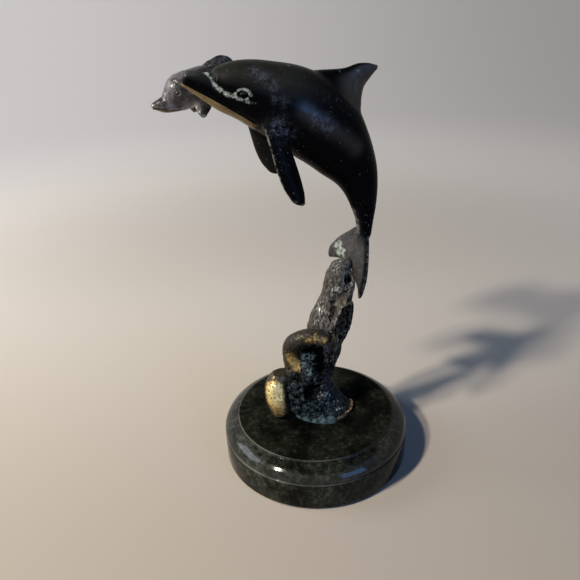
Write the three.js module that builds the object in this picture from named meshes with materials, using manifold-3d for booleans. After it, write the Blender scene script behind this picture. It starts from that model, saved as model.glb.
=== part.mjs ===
// Brass dolphin statue: a mother dolphin and her calf leap from a breaking wave on a turned marble base.
// Millimetres, +Z up. The origin is the centre of the felt's underside, and the viewer stands at -Y.
// The castings are brazed on tenons and dowels, and one stud holds the wave to the marble.

import * as THREE from 'three';
import { mergeVertices } from 'three/addons/utils/BufferGeometryUtils.js';
import Module from 'manifold-3d';

const wasm = await Module();
wasm.setup();

// Fits
const BRAZE_GAP = 0.3; // between two brazed castings, and round each tenon and dowel in its socket
const SOCKET_END_GAP = 0.4; // between the end of a tenon, dowel or stud and the floor of its socket
const THREAD_GAP = 0.3; // round the stud in the nut and in the wave's foot
const FACETS = 18; // points round each cast section
const SPAN_RINGS = 2; // rings between two stations of a casting
const ROUND_FACETS = 20; // points round studs, washers and dowels

// Marble base and felt
const FELT_DIAMETER = 94;
const FELT_THICKNESS = 1;
const BASE_DIAMETER = 100;
const BASE_HEIGHT = 23.7;
const BASE_FACETS = 48;
const BASE_CHAMFER = 0.6;
const LOWER_BAND_HEIGHT = 15;
const BAND_GROOVE_DEPTH = 0.8;
const BAND_GROOVE_HEIGHT = 0.8;
const TOP_FACE_DIAMETER = 84.6;
const TOP_STEP_HEIGHT = 0.7;
const TOP_STEP_WIDTH = 0.7;

// Stud, washer and nut
const STUD_DIAMETER = 6;
const STUD_GRIP = 12; // depth of the tapped hole in the wave's foot
const STUD_TAIL = 1.5; // thread that stands out below the nut
const STUD_HOLE_CLEARANCE = 0.4; // all round the stud, in the marble and the washer
const WASHER_DIAMETER = 18;
const WASHER_THICKNESS = 1.6;
const NUT_ACROSS_FLATS = 10;
const NUT_HEIGHT = 5;
const COUNTERBORE_DIAMETER = 24;
const COUNTERBORE_COVER = 1; // between the stud's tail and the felt

// Brass dowels
const TAIL_DOWEL_DIAMETER = 3;
const TAIL_DOWEL_LENGTH = 9;
const CALF_DOWEL_DIAMETER = 4;
const CALF_DOWEL_SOCKET = 5; // depth in each dolphin

// Wave column: stations from the marble up, [x, y, height above the marble, half width, half depth].
// The stations and the crest stretch with the column's height.
const COLUMN_HEIGHT = 83.6;
const COLUMN = [
  [4.8, -0.2, 0, 15.6, 14.8],
  [4.8, -0.2, 3.3, 13.6, 13],
  [4.2, 0.8, 9.3, 9, 8.6],
  [3, 2, 19.3, 6.4, 6.8],
  [3.6, 2.5, 28.3, 7.6, 7.2],
  [4.4, 3, 38.3, 8.2, 7.8],
  [5.4, 3, 48.3, 8.4, 7.8],
  [8.4, 3, 58.3, 8.6, 7.8],
  [12.4, 3, 67.3, 8.6, 7.4],
  [14.2, 3.2, 75.3, 8, 7],
  [14.2, 3.4, 80.3, 6.4, 6.2],
  [14.4, 3.6, 83.6, 4.8, 5],
];
const COLUMN_DOME = 2.5;
// A second crest that climbs the column's right side
const SIDE_CREST = [
  [6.6, 2, 20, 3, 3.2],
  [8.7, 1, 31.3, 4.1, 4.4],
  [11.8, 0, 43.3, 4.6, 4.8],
  [14.8, -1, 54.3, 5, 5],
  [16.6, -1.6, 64.2, 4.2, 4.4],
];
const SIDE_CREST_DOME = 3.4;
const SEAT_ARM_RADIUS = 3.2; // carries the flukes on the column's top

// Front wave: its rising face, and the lip that curls over it
const FRONT_FACE = [
  [-0.6, -4.4, 0, 10.6, 8.6],
  [-0.8, -4.2, 8, 9.2, 8],
  [-1.4, -3.8, 20, 8, 6.8],
  [-2, -2.6, 33, 8, 6],
  [-2.4, -2, 43, 8.6, 5.8],
];
const FRONT_FACE_DOME = 4;
const FRONT_LIP = [
  [-11.2, -4, 27, 3.4, 3.4],
  [-12.2, -5, 36.5, 3.9, 3.9],
  [-11.3, -6.2, 45, 4.3, 4.1],
  [-5.8, -7.4, 49.6, 4.4, 4],
  [0.8, -8, 50.2, 4.2, 4],
  [4.6, -8, 48, 3.6, 3.4],
];
const FRONT_LIP_DOME = 2;

// Small wave at the left, which folds over beside the front wave
const SMALL_WAVE = [
  [-8.5, -1, 12, 4.4, 4.4],
  [-12.6, -1.2, 18, 4.4, 4.6],
  [-16.6, -2, 22.6, 4.8, 5],
  [-20, -4, 21, 5.2, 5.6],
  [-21, -6, 13, 5.6, 6],
  [-20, -6, 4.6, 5.2, 5.4],
];
const SMALL_WAVE_DOME = 3.4;

// Mother: stations from the tail joint to the melon in her own frame, nose along +X and left side along +Y,
// [x, z, half depth, half width]
const MOTHER_SPINE = [
  [0, 0, 3.5, 2.9],
  [0.1, 7.3, 4.6, 3.5],
  [0.6, 14.5, 6.3, 4.6],
  [2.5, 24.1, 8.6, 6.8],
  [6, 32.8, 11.2, 9.2],
  [12.4, 42.3, 14.5, 12],
  [21.8, 53.5, 17.4, 14],
  [34.7, 62.4, 16.7, 14.4],
  [48.1, 68.6, 13.6, 12.8],
  [57.2, 72.3, 10.9, 10.5],
  [63.2, 74.6, 8, 8.2],
  [67.2, 75.9, 4.9, 5.5],
];
const MOTHER_MELON_DOME = 2;
const MOTHER_BEAK = [
  [49, 60.8, 6.8, 8.6],
  [57, 65.7, 6.3, 7.4],
  [63.5, 69.4, 6.4, 6.4],
  [69.6, 73.1, 5.7, 4.7],
  [74.4, 75.3, 4.5, 3.7],
  [78.9, 77.1, 3.3, 2.8],
];
const MOTHER_BEAK_DOME = 1.6;
// Fins, root to tip: [leading edge, trailing edge, thickness]
const MOTHER_DORSAL_FIN = [
  [[33, 0, 73], [4.1, 0, 54], 12],
  [[22, 0, 75.4], [3.3, 0, 59.6], 7.6],
  [[11.6, 0, 76.3], [2.9, 0, 63.7], 5.2],
  [[4.7, 0, 77.8], [1.7, 0, 67.9], 3.8],
  [[-0.6, 0, 77.6], [-1.2, 0, 71.3], 2.8],
  [[-3.7, 0, 76.7], [-3.7, 0, 73.9], 2],
];
const MOTHER_DORSAL_FIN_DOME = 1.4;
const MOTHER_FLIPPER = [
  [[52.2, 8.2, 63.2], [39, 6.2, 54.9], 7],
  [[51.4, 11.3, 56.5], [40.8, 10.5, 48.2], 5.6],
  [[50.2, 13.8, 49.4], [40.6, 13.5, 43.2], 4.8],
  [[48.6, 15.8, 41.6], [39.8, 15.8, 36.6], 4],
  [[46.2, 17.4, 34.2], [38.5, 17.4, 31], 3.3],
  [[42.9, 18.8, 28.9], [38, 18.8, 27.1], 2.6],
];
const MOTHER_FLIPPER_DOME = 2.2;
const MOTHER_FLIPPER_TENON = [5, 6]; // diameter, length
const MOTHER_LEFT_SPLAY = -5; // degrees that the left flipper's tip swings out from her side
const MOTHER_RIGHT_SPLAY = 11;
const MOTHER_RIGHT_SWEEP = 9; // degrees that the right flipper's tip is swept back
// Flukes in their own frame, tail joint at the origin and body along +X: the hub, and the left lobe
const MOTHER_FLUKE_HUB = [
  [0, 0, 3.4, 2.8],
  [-6, 0, 3, 4],
  [-14, 0, 2.2, 4],
];
const MOTHER_FLUKE_HUB_DOME = 2;
const MOTHER_FLUKE = [
  [[3, 0, 0], [-18.5, 0, 0], 4.8],
  [[-0.4, 5, 0], [-19.5, 4.6, 0], 4.2],
  [[-7, 11, 0], [-21.4, 10, 0], 3.5],
  [[-14.4, 16.2, 0], [-23, 14.8, 0], 2.9],
  [[-21.8, 18.8, 0], [-25.8, 18, 0], 2.2],
];
const MOTHER_FLUKE_DOME = 1.4;
const MOTHER_FLUKE_TENON = [2.6, 4.6]; // diameter, length
const MOTHER_FLUKE_SEAT = 15.2; // from the tail joint to the tail dowel
const MOTHER_HEADING = 200; // degrees about +Z, so that her nose points to -X and a little to the viewer
const MOTHER_TAIL_CURL = -107; // degrees between her nose's axis and the flukes' own axis
const MOTHER_TAIL_ROLL = -14; // degrees, near lobe down
const MOTHER_TAIL_SWING = 3; // degrees in the flukes' own plane, near lobe back
const TAIL_FROM_COLUMN_TOP = [12, 0.9, 16.1]; // from the column's last station to her tail joint

// Calf, in its own frame as the mother is in hers
const CALF_SPINE = [
  [0, 0, 2.3, 2],
  [1, 5.2, 3, 2.4],
  [4.1, 11.9, 4.4, 3.6],
  [10.3, 17.6, 6.4, 5.4],
  [19.5, 20.3, 7.8, 7.2],
  [29.8, 20.3, 8.1, 7.8],
  [40, 19.1, 7.8, 7.4],
  [46.2, 18, 7.2, 6.6],
  [49.6, 16.6, 5.2, 5.2],
  [51.6, 15.8, 3.1, 3.4],
];
const CALF_MELON_DOME = 1.2;
const CALF_BEAK = [
  [45, 14.8, 4.4, 4.5],
  [52.4, 13.6, 3.4, 3.3],
  [55.6, 13.4, 2.3, 2.4],
  [57.9, 13.2, 1.4, 1.6],
];
const CALF_BEAK_DOME = 1;
const CALF_DORSAL_FIN = [
  [[39, 0, 22.6], [20.5, 0, 20.6], 4],
  [[35, 0, 28], [22, 0, 25.2], 3.4],
  [[31, 0, 30.3], [22.4, 0, 27.2], 2.9],
  [[27.6, 0, 31.4], [22.2, 0, 28.4], 2.4],
  [[24.8, 0, 30.9], [22.2, 0, 28.8], 1.9],
];
const CALF_DORSAL_FIN_DOME = 0.8;
const CALF_FLIPPER = [
  [[42, 4, 15.5], [33.4, 4, 15], 3.4],
  [[41.4, 6.2, 11.8], [34.3, 6.2, 12], 2.7],
  [[40.8, 7.6, 9.8], [35.8, 7.6, 10.2], 2.2],
  [[39.8, 8.4, 8.6], [37.2, 8.4, 9], 1.7],
];
const CALF_FLIPPER_DOME = 0.8;
const CALF_FLIPPER_TENON = [2.4, 3]; // diameter, length
const CALF_FLUKE_HUB = [
  [0, 0, 2.2, 1.9],
  [-3.4, 0, 1.9, 2.4],
  [-7.6, 0, 1.5, 2.4],
];
const CALF_FLUKE_HUB_DOME = 1.2;
const CALF_FLUKE = [
  [[-0.6, 0, 0], [-10.2, 0, 0], 3],
  [[-2, 2.8, 0], [-10.8, 2.8, 0], 2.6],
  [[-5.2, 6.3, 0], [-12, 5.9, 0], 2.2],
  [[-9.6, 9.4, 0], [-13.6, 9, 0], 1.8],
  [[-13.2, 11.2, 0], [-15.2, 11, 0], 1.4],
];
const CALF_FLUKE_DOME = 0.8;
const CALF_FLUKE_TENON = [2, 5]; // diameter, length
const CALF_TAIL_CURL = -95; // degrees
const CALF_TURN = 0; // degrees that the calf turns from its mother's heading
const CALF_LEAD = 3.4; // the calf's joint ahead of its mother's station
const CALF_RISE = 3.7; // the calf's joint above its mother's station
const CALF_NESTLE = 0.6; // depth to which the calf's flank is fitted into its mother's

// Finishes
const dark = { roughness: 0.38, metalness: 0.85 };
const blackPatina = new THREE.MeshStandardMaterial({ color: 0x17181c, ...dark });
const greyPatina = new THREE.MeshStandardMaterial({ color: 0x4b4a46, ...dark });
const wavePatina = new THREE.MeshStandardMaterial({ color: 0x45484a, roughness: 0.55, metalness: 0.8 });
const brass = new THREE.MeshStandardMaterial({ color: 0xb08a45, roughness: 0.35, metalness: 1 });
const steel = new THREE.MeshStandardMaterial({ color: 0xaeb1b4, roughness: 0.4, metalness: 1 });
const marble = new THREE.MeshStandardMaterial({ color: 0x2b2f28, roughness: 0.15, metalness: 0 });
const felt = new THREE.MeshStandardMaterial({ color: 0x1c2420, roughness: 1, metalness: 0 });

const at = (x, y, z) => new THREE.Vector3(x, y, z);
const LEFT = at(0, 1, 0);
const ACROSS = at(1, 0, 0);
const MIRROR = new THREE.Matrix4().makeScale(1, -1, 1);

// Turns in degrees, about X, then Y, then Z of the piece's own frame.
function turned(x, y, z) {
  const { degToRad } = THREE.MathUtils;
  return new THREE.Euler(degToRad(x), degToRad(y), degToRad(z));
}

function matrixOf(position, rotation) {
  return new THREE.Matrix4().makeRotationFromEuler(rotation).setPosition(position);
}

// A geometry as a solid that can be joined and cut.
function solidOf(geometry) {
  const bare = new THREE.BufferGeometry();
  bare.setAttribute('position', geometry.getAttribute('position'));
  bare.setIndex(geometry.index);
  const merged = mergeVertices(bare, 1e-4);
  const mesh = new wasm.Mesh({
    numProp: 3,
    vertProperties: new Float32Array(merged.getAttribute('position').array),
    triVerts: new Uint32Array(merged.index.array),
  });
  return new wasm.Manifold(mesh);
}

function placed(solid, matrix) {
  return solid.transform(matrix.elements);
}

// A cut casting without the offcuts that fall from it.
function mainBody(solid) {
  return solid.decompose().reduce((main, piece) => (piece.volume() > main.volume() ? piece : main));
}

function addMesh(group, name, solid, material) {
  const { vertProperties, triVerts } = mainBody(solid).getMesh();
  const geometry = new THREE.BufferGeometry();
  geometry.setAttribute('position', new THREE.BufferAttribute(vertProperties, 3));
  geometry.setIndex(new THREE.BufferAttribute(triVerts, 1));
  geometry.computeVertexNormals();
  const mesh = new THREE.Mesh(geometry, material);
  mesh.name = name;
  group.add(mesh);
}

// A closed skin over rings of equal counts, with a fan over each end.
function skin(rings) {
  const points = rings.flat();
  const faces = [];
  const next = (i) => (i + 1) % FACETS;
  for (let r = 0; r + 1 < rings.length; r++) {
    for (let i = 0; i < FACETS; i++) {
      const a = r * FACETS + i;
      const b = r * FACETS + next(i);
      faces.push([a, b, b + FACETS], [a, b + FACETS, a + FACETS]);
    }
  }
  const fan = (first) => {
    const centre = new THREE.Vector3();
    for (let i = 0; i < FACETS; i++) centre.addScaledVector(points[first + i], 1 / FACETS);
    points.push(centre);
    return points.length - 1;
  };
  const last = (rings.length - 1) * FACETS;
  const startPoint = fan(0);
  const endPoint = fan(last);
  for (let i = 0; i < FACETS; i++) {
    faces.push([startPoint, next(i), i]);
    faces.push([endPoint, last + i, last + next(i)]);
  }
  const volume = faces.reduce((sum, [a, b, c]) => sum + points[a].dot(points[b].clone().cross(points[c])), 0);
  const outward = volume > 0 ? faces : faces.map(([a, b, c]) => [a, c, b]);
  const geometry = new THREE.BufferGeometry().setFromPoints(points);
  geometry.setIndex(outward.flat());
  return solidOf(geometry);
}

function ring({ centre, across, up }) {
  return Array.from({ length: FACETS }, (_, i) => {
    const angle = (2 * Math.PI * i) / FACETS;
    return centre.clone().addScaledVector(across, Math.cos(angle)).addScaledVector(up, Math.sin(angle));
  });
}

// The rings that round off an end: the section shrinks as it moves on by the dome's length.
function domeRings({ centre, along, across, up }, length) {
  const steps = [0.4, 0.7, 0.9, 0.98];
  return steps.map((share) => {
    const shrink = Math.sqrt(1 - share * share);
    const moved = centre.clone().addScaledVector(along, length * share);
    return ring({
      centre: moved,
      across: across.clone().multiplyScalar(shrink),
      up: up.clone().multiplyScalar(shrink),
    });
  });
}

// An end of a casting: a dome, or a flat face that moves out with the clearance.
function endRings(frame, dome, grow) {
  if (dome) return domeRings(frame, dome + grow);
  if (grow) return [ring({ ...frame, centre: frame.centre.clone().addScaledVector(frame.along, grow) })];
  return [];
}

// A casting along stations { centre, across, up }, where across and up are half sizes. Its sections stand
// square to the spine with `side` across them, or lie level where `level` is set.
function spineSolid(stations, { side, startDome = 0, endDome = 0, grow = 0, level = false }) {
  const centres = new THREE.CatmullRomCurve3(stations.map((s) => s.centre));
  const halves = new THREE.CatmullRomCurve3(stations.map((s) => at(s.across, s.up, 0)));
  const last = (stations.length - 1) * SPAN_RINGS;
  const frames = Array.from({ length: last + 1 }, (_, k) => {
    const along = centres.getTangent(k / last);
    const half = halves.getPoint(k / last);
    const across = level ? side.clone() : side.clone().addScaledVector(along, -side.dot(along)).normalize();
    const up = level ? at(-side.y, side.x, 0) : along.clone().cross(across);
    across.multiplyScalar(half.x + grow);
    up.multiplyScalar(half.y + grow);
    return { centre: centres.getPoint(k / last), along, across, up };
  });
  const first = { ...frames[0], along: frames[0].along.clone().negate() };
  const start = endRings(first, startDome, grow).reverse();
  return skin([...start, ...frames.map(ring), ...endRings(frames[last], endDome, grow)]);
}

// A fin from root to tip: rounded sections between its leading and trailing edges.
function finSolid(rows, tipDome, grow = 0) {
  const leading = new THREE.CatmullRomCurve3(rows.map((row) => at(...row[0])));
  const trailing = new THREE.CatmullRomCurve3(rows.map((row) => at(...row[1])));
  const thickness = new THREE.CatmullRomCurve3(rows.map((row) => at(row[2], 0, 0)));
  const last = (rows.length - 1) * SPAN_RINGS;
  const frames = Array.from({ length: last + 1 }, (_, k) => {
    const front = leading.getPoint(k / last);
    const back = trailing.getPoint(k / last);
    const across = front.clone().sub(back).multiplyScalar(0.5);
    const along = leading.getTangent(k / last).add(trailing.getTangent(k / last)).normalize();
    const up = along.clone().cross(across).setLength(thickness.getPoint(k / last).x / 2 + grow);
    across.setLength(across.length() + grow);
    return { centre: front.add(back).multiplyScalar(0.5), along, across, up };
  });
  return skin([...frames.map(ring), ...domeRings(frames[last], tipDome + grow)]);
}

// A round bar from one point to another.
function barSolid(from, to, diameter) {
  const bar = new THREE.CylinderGeometry(diameter / 2, diameter / 2, from.distanceTo(to), ROUND_FACETS);
  const direction = to.clone().sub(from).normalize();
  const middle = from.clone().add(to).multiplyScalar(0.5);
  bar.applyQuaternion(new THREE.Quaternion().setFromUnitVectors(LEFT, direction));
  bar.translate(middle.x, middle.y, middle.z);
  return solidOf(bar);
}

// A turned piece from [radius, height] points that start and end on the axis, lowest first.
function turnedSolid(profile, facets) {
  const lathe = new THREE.LatheGeometry(profile.map(([r, z]) => new THREE.Vector2(r, z)), facets);
  lathe.rotateX(Math.PI / 2);
  return solidOf(lathe);
}

const statue = new THREE.Group();

// Heights of the stack under the wave, and the stud's axis
const baseTop = FELT_THICKNESS + BASE_HEIGHT;
const counterboreDepth = WASHER_THICKNESS + NUT_HEIGHT + STUD_TAIL + COUNTERBORE_COVER;
const counterboreTop = FELT_THICKNESS + counterboreDepth;
const studHole = STUD_DIAMETER + 2 * STUD_HOLE_CLEARANCE;
const [studX, studY] = COLUMN[0];
const studAxis = (z) => at(studX, studY, z);

// Felt pad: a plain disc glued under the marble, which hides the nut
const feltRadius = FELT_DIAMETER / 2;
const feltProfile = [[0, 0], [feltRadius, 0], [feltRadius, FELT_THICKNESS], [0, FELT_THICKNESS]];
addMesh(statue, 'felt_pad', turnedSolid(feltProfile, BASE_FACETS), felt);

// Marble base: lower band, groove, rounded shoulder and a stepped top face, bored for the stud
{
  const outer = BASE_DIAMETER / 2;
  const neck = outer - BAND_GROOVE_DEPTH;
  const bandTop = FELT_THICKNESS + LOWER_BAND_HEIGHT;
  const grooveTop = bandTop + BAND_GROOVE_HEIGHT;
  const topFace = TOP_FACE_DIAMETER / 2;
  const shoulderIn = topFace + TOP_STEP_WIDTH;
  const shoulderRise = baseTop - TOP_STEP_HEIGHT - grooveTop;
  const shoulderSteps = 6;
  const shoulder = Array.from({ length: shoulderSteps + 1 }, (_, i) => {
    const angle = (Math.PI / 2) * (i / shoulderSteps);
    const radius = shoulderIn + (outer - shoulderIn) * Math.cos(angle);
    return [radius, grooveTop + shoulderRise * Math.sin(angle)];
  });
  const profile = [
    [0, FELT_THICKNESS],
    [outer - BASE_CHAMFER, FELT_THICKNESS],
    [outer, FELT_THICKNESS + BASE_CHAMFER],
    [outer, bandTop],
    [neck, bandTop],
    [neck, grooveTop],
    ...shoulder,
    [topFace, baseTop - TOP_STEP_HEIGHT],
    [topFace, baseTop],
    [0, baseTop],
  ];
  const through = barSolid(studAxis(0), studAxis(baseTop + 1), studHole);
  const counterbore = barSolid(studAxis(0), studAxis(counterboreTop), COUNTERBORE_DIAMETER);
  const block = turnedSolid(profile, BASE_FACETS);
  addMesh(statue, 'marble_base', block.subtract(through).subtract(counterbore), marble);
}

// Stud, washer and nut, up through the marble into the wave's foot
{
  const washerBottom = counterboreTop - WASHER_THICKNESS;
  const washer = barSolid(studAxis(washerBottom), studAxis(counterboreTop), WASHER_DIAMETER);
  const washerHole = barSolid(studAxis(washerBottom - 1), studAxis(counterboreTop + 1), studHole);
  addMesh(statue, 'stud_washer', washer.subtract(washerHole), steel);

  const nutBottom = washerBottom - NUT_HEIGHT;
  const nutCorner = NUT_ACROSS_FLATS / Math.sqrt(3);
  const hexagon = new THREE.CylinderGeometry(nutCorner, nutCorner, NUT_HEIGHT, 6);
  hexagon.rotateX(Math.PI / 2);
  hexagon.translate(studX, studY, nutBottom + NUT_HEIGHT / 2);
  const nutBore = STUD_DIAMETER + 2 * THREAD_GAP;
  const nutHole = barSolid(studAxis(nutBottom - 1), studAxis(washerBottom + 1), nutBore);
  addMesh(statue, 'stud_nut', solidOf(hexagon).subtract(nutHole), steel);

  const studTop = baseTop + STUD_GRIP - SOCKET_END_GAP;
  const stud = barSolid(studAxis(nutBottom - STUD_TAIL), studAxis(studTop), STUD_DIAMETER);
  addMesh(statue, 'mounting_stud', stud, steel);
}

// Both dolphins are cast alike: a body with its dorsal fin, two flippers, and the flukes

const spineStations = (rows) => rows.map(([x, z, up, across]) => ({ centre: at(x, 0, z), across, up }));

function bodySolid(shape, grow = 0) {
  const trunk = spineSolid(spineStations(shape.spine), { side: LEFT, endDome: shape.melonDome, grow });
  const snout = spineSolid(spineStations(shape.beak), { side: LEFT, endDome: shape.beakDome, grow });
  return trunk.add(snout).add(finSolid(shape.dorsalFin, shape.dorsalFinDome, grow));
}

function flukesSolid(shape, grow = 0) {
  const hub = spineSolid(spineStations(shape.flukeHub), { side: LEFT, endDome: shape.flukeHubDome, grow });
  const lobe = finSolid(shape.fluke, shape.flukeDome, grow);
  return hub.add(lobe).add(placed(lobe, MIRROR));
}

// A flipper's root is its second row, where it leaves the flank; it swings about that root.
function flipperRoot({ flipper }) {
  return at(...flipper[1][0]).add(at(...flipper[1][1])).multiplyScalar(0.5);
}

function flipperSolids(shape, splay, sweep, clearance) {
  const root = flipperRoot(shape);
  const [diameter, length] = shape.flipperTenon;
  const inner = (end) => at(root.x, root.y - length - end, root.z);
  const toRoot = matrixOf(root.clone().negate(), turned(0, 0, 0));
  const swing = matrixOf(root, turned(splay, sweep, 0)).multiply(toRoot);
  const blade = placed(finSolid(shape.flipper, shape.flipperDome), swing);
  return {
    flipper: blade.subtract(clearance).add(barSolid(inner(0), root, diameter)),
    socket: barSolid(inner(SOCKET_END_GAP), root, diameter + 2 * BRAZE_GAP),
  };
}

// All castings of one dolphin in its own frame, but for the flukes, which stay in theirs.
function dolphinSolids(shape, tail) {
  const clearance = bodySolid(shape, BRAZE_GAP);
  const left = flipperSolids(shape, shape.leftSplay, 0, clearance);
  const right = flipperSolids(shape, shape.rightSplay, shape.rightSweep, clearance);
  const [diameter, length] = shape.flukeTenon;
  const tenon = barSolid(at(-1, 0, 0), at(length, 0, 0), diameter);
  const tenonSocket = barSolid(at(-1, 0, 0), at(length + SOCKET_END_GAP, 0, 0), diameter + 2 * BRAZE_GAP);
  const intoFlukes = tail.clone().invert();
  const body = bodySolid(shape)
    .subtract(left.socket)
    .subtract(placed(right.socket, MIRROR))
    .subtract(placed(tenonSocket, tail));
  return {
    body,
    clearance,
    leftFlipper: left.flipper,
    rightFlipper: placed(right.flipper, MIRROR),
    flukes: flukesSolid(shape).subtract(placed(clearance, intoFlukes)).add(tenon),
    flukesClearance: flukesSolid(shape, BRAZE_GAP),
  };
}

const motherTail = matrixOf(at(0, 0, 0), turned(MOTHER_TAIL_ROLL, MOTHER_TAIL_CURL, MOTHER_TAIL_SWING));
const motherShape = {
  spine: MOTHER_SPINE,
  melonDome: MOTHER_MELON_DOME,
  beak: MOTHER_BEAK,
  beakDome: MOTHER_BEAK_DOME,
  dorsalFin: MOTHER_DORSAL_FIN,
  dorsalFinDome: MOTHER_DORSAL_FIN_DOME,
  flipper: MOTHER_FLIPPER,
  flipperDome: MOTHER_FLIPPER_DOME,
  flipperTenon: MOTHER_FLIPPER_TENON,
  leftSplay: MOTHER_LEFT_SPLAY,
  rightSplay: MOTHER_RIGHT_SPLAY,
  rightSweep: MOTHER_RIGHT_SWEEP,
  flukeHub: MOTHER_FLUKE_HUB,
  flukeHubDome: MOTHER_FLUKE_HUB_DOME,
  fluke: MOTHER_FLUKE,
  flukeDome: MOTHER_FLUKE_DOME,
  flukeTenon: MOTHER_FLUKE_TENON,
};
const mother = dolphinSolids(motherShape, motherTail);

const calfTail = matrixOf(at(0, 0, 0), turned(0, CALF_TAIL_CURL, 0));
const calfShape = {
  spine: CALF_SPINE,
  melonDome: CALF_MELON_DOME,
  beak: CALF_BEAK,
  beakDome: CALF_BEAK_DOME,
  dorsalFin: CALF_DORSAL_FIN,
  dorsalFinDome: CALF_DORSAL_FIN_DOME,
  flipper: CALF_FLIPPER,
  flipperDome: CALF_FLIPPER_DOME,
  flipperTenon: CALF_FLIPPER_TENON,
  leftSplay: 0,
  rightSplay: 0,
  rightSweep: 0,
  flukeHub: CALF_FLUKE_HUB,
  flukeHubDome: CALF_FLUKE_HUB_DOME,
  fluke: CALF_FLUKE,
  flukeDome: CALF_FLUKE_DOME,
  flukeTenon: CALF_FLUKE_TENON,
};
const calf = dolphinSolids(calfShape, calfTail);

// The mother stands by her tail joint on the column's top
const [topX, topY] = COLUMN.at(-1);
const columnTop = at(topX, topY, COLUMN_HEIGHT + baseTop);
const motherGroup = new THREE.Group();
motherGroup.position.copy(columnTop).add(at(...TAIL_FROM_COLUMN_TOP));
motherGroup.rotation.copy(turned(0, 0, MOTHER_HEADING));
motherGroup.updateMatrix();
statue.add(motherGroup);

const motherFlukesGroup = new THREE.Group();
motherFlukesGroup.rotation.setFromRotationMatrix(motherTail);
motherGroup.add(motherFlukesGroup);

// The calf swims flank to flank with her, and one dowel through both flanks holds it
const [stationX, stationZ, , motherHalf] = MOTHER_SPINE.at(8);
const [calfStationX, calfStationZ, , calfHalf] = CALF_SPINE.at(4);
const calfTurn = turned(0, 0, CALF_TURN);
const calfJoint = at(stationX + CALF_LEAD, CALF_NESTLE - motherHalf - calfHalf, stationZ + CALF_RISE);
const calfGroup = new THREE.Group();
calfGroup.position.copy(calfJoint).sub(at(calfStationX, 0, calfStationZ).applyEuler(calfTurn));
calfGroup.rotation.copy(calfTurn);
calfGroup.updateMatrix();
motherGroup.add(calfGroup);

const calfFlukesGroup = new THREE.Group();
calfFlukesGroup.rotation.setFromRotationMatrix(calfTail);
calfGroup.add(calfFlukesGroup);

function calfDowelSolid(gap, endGap) {
  const motherEnd = CALF_NESTLE - motherHalf + CALF_DOWEL_SOCKET + endGap;
  const calfEnd = CALF_NESTLE - motherHalf - CALF_DOWEL_SOCKET - endGap;
  const axis = (y) => at(calfJoint.x, y, calfJoint.z);
  return barSolid(axis(motherEnd), axis(calfEnd), CALF_DOWEL_DIAMETER + 2 * gap);
}

// The tail dowel runs from the flukes' middle out of their underside, down the arm at the column's top
const flukesMatrix = motherGroup.matrix.clone().multiply(motherTail);
const flukesSeat = at(-MOTHER_FLUKE_SEAT, 0, 0).applyMatrix4(flukesMatrix);
const armDirection = columnTop.clone().sub(flukesSeat).normalize();
function tailDowelSolid(gap, endGap) {
  const axis = (distance) => flukesSeat.clone().addScaledVector(armDirection, distance);
  return barSolid(axis(-endGap), axis(TAIL_DOWEL_LENGTH + endGap), TAIL_DOWEL_DIAMETER + 2 * gap);
}

const calfDowelSocket = calfDowelSolid(BRAZE_GAP, SOCKET_END_GAP);
const tailDowelSocket = tailDowelSolid(BRAZE_GAP, SOCKET_END_GAP);
const motherFromCalf = calfGroup.matrix.clone().invert();
const motherBeside = placed(mother.clearance.add(calfDowelSocket), motherFromCalf);

addMesh(motherGroup, 'mother_body', mother.body.subtract(calfDowelSocket), blackPatina);
addMesh(motherGroup, 'mother_left_flipper', mother.leftFlipper, blackPatina);
addMesh(motherGroup, 'mother_right_flipper', mother.rightFlipper, blackPatina);
const tailSocketInFlukes = placed(tailDowelSocket, flukesMatrix.clone().invert());
addMesh(motherFlukesGroup, 'mother_flukes', mother.flukes.subtract(tailSocketInFlukes), greyPatina);
addMesh(statue, 'tail_dowel', tailDowelSolid(0, 0), brass);
addMesh(motherGroup, 'calf_dowel', calfDowelSolid(0, 0), brass);
addMesh(calfGroup, 'calf_body', calf.body.subtract(motherBeside), greyPatina);
addMesh(calfGroup, 'calf_left_flipper', calf.leftFlipper.subtract(motherBeside), greyPatina);
addMesh(calfGroup, 'calf_right_flipper', calf.rightFlipper, greyPatina);
addMesh(calfFlukesGroup, 'calf_flukes', calf.flukes, greyPatina);

// Wave: the column with its foot and side crest, whose top reaches up to the flukes
const waveStations = (rows) => {
  return rows.map(([x, y, z, across, up]) => ({ centre: at(x, y, z + baseTop), across, up }));
};

const columnStretch = COLUMN_HEIGHT / COLUMN.at(-1)[2];
const columnStations = (rows) => {
  return waveStations(rows.map(([x, y, z, across, up]) => [x, y, z * columnStretch, across, up]));
};

function columnSolid(grow = 0) {
  const trunk = spineSolid(columnStations(COLUMN), { side: ACROSS, endDome: COLUMN_DOME, grow, level: true });
  const crestEnds = { startDome: SIDE_CREST_DOME, endDome: SIDE_CREST_DOME };
  const crest = spineSolid(columnStations(SIDE_CREST), { side: ACROSS, ...crestEnds, grow });
  const armHalves = { across: SEAT_ARM_RADIUS, up: SEAT_ARM_RADIUS };
  const armStations = [{ centre: columnTop, ...armHalves }, { centre: flukesSeat, ...armHalves }];
  const arm = spineSolid(armStations, { side: LEFT, startDome: SEAT_ARM_RADIUS, grow });
  return trunk.add(crest).add(arm);
}

const columnClearance = columnSolid(BRAZE_GAP);
const studSocketTop = studAxis(baseTop + STUD_GRIP);
const studSocket = barSolid(studAxis(baseTop - 1), studSocketTop, STUD_DIAMETER + 2 * THREAD_GAP);
const flukesBeside = placed(mother.flukesClearance, flukesMatrix).add(tailDowelSocket);
const motherAbove = placed(mother.clearance, motherGroup.matrix);
const column = columnSolid().subtract(flukesBeside).subtract(motherAbove).subtract(studSocket);
addMesh(statue, 'wave_column', column, wavePatina);

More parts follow.
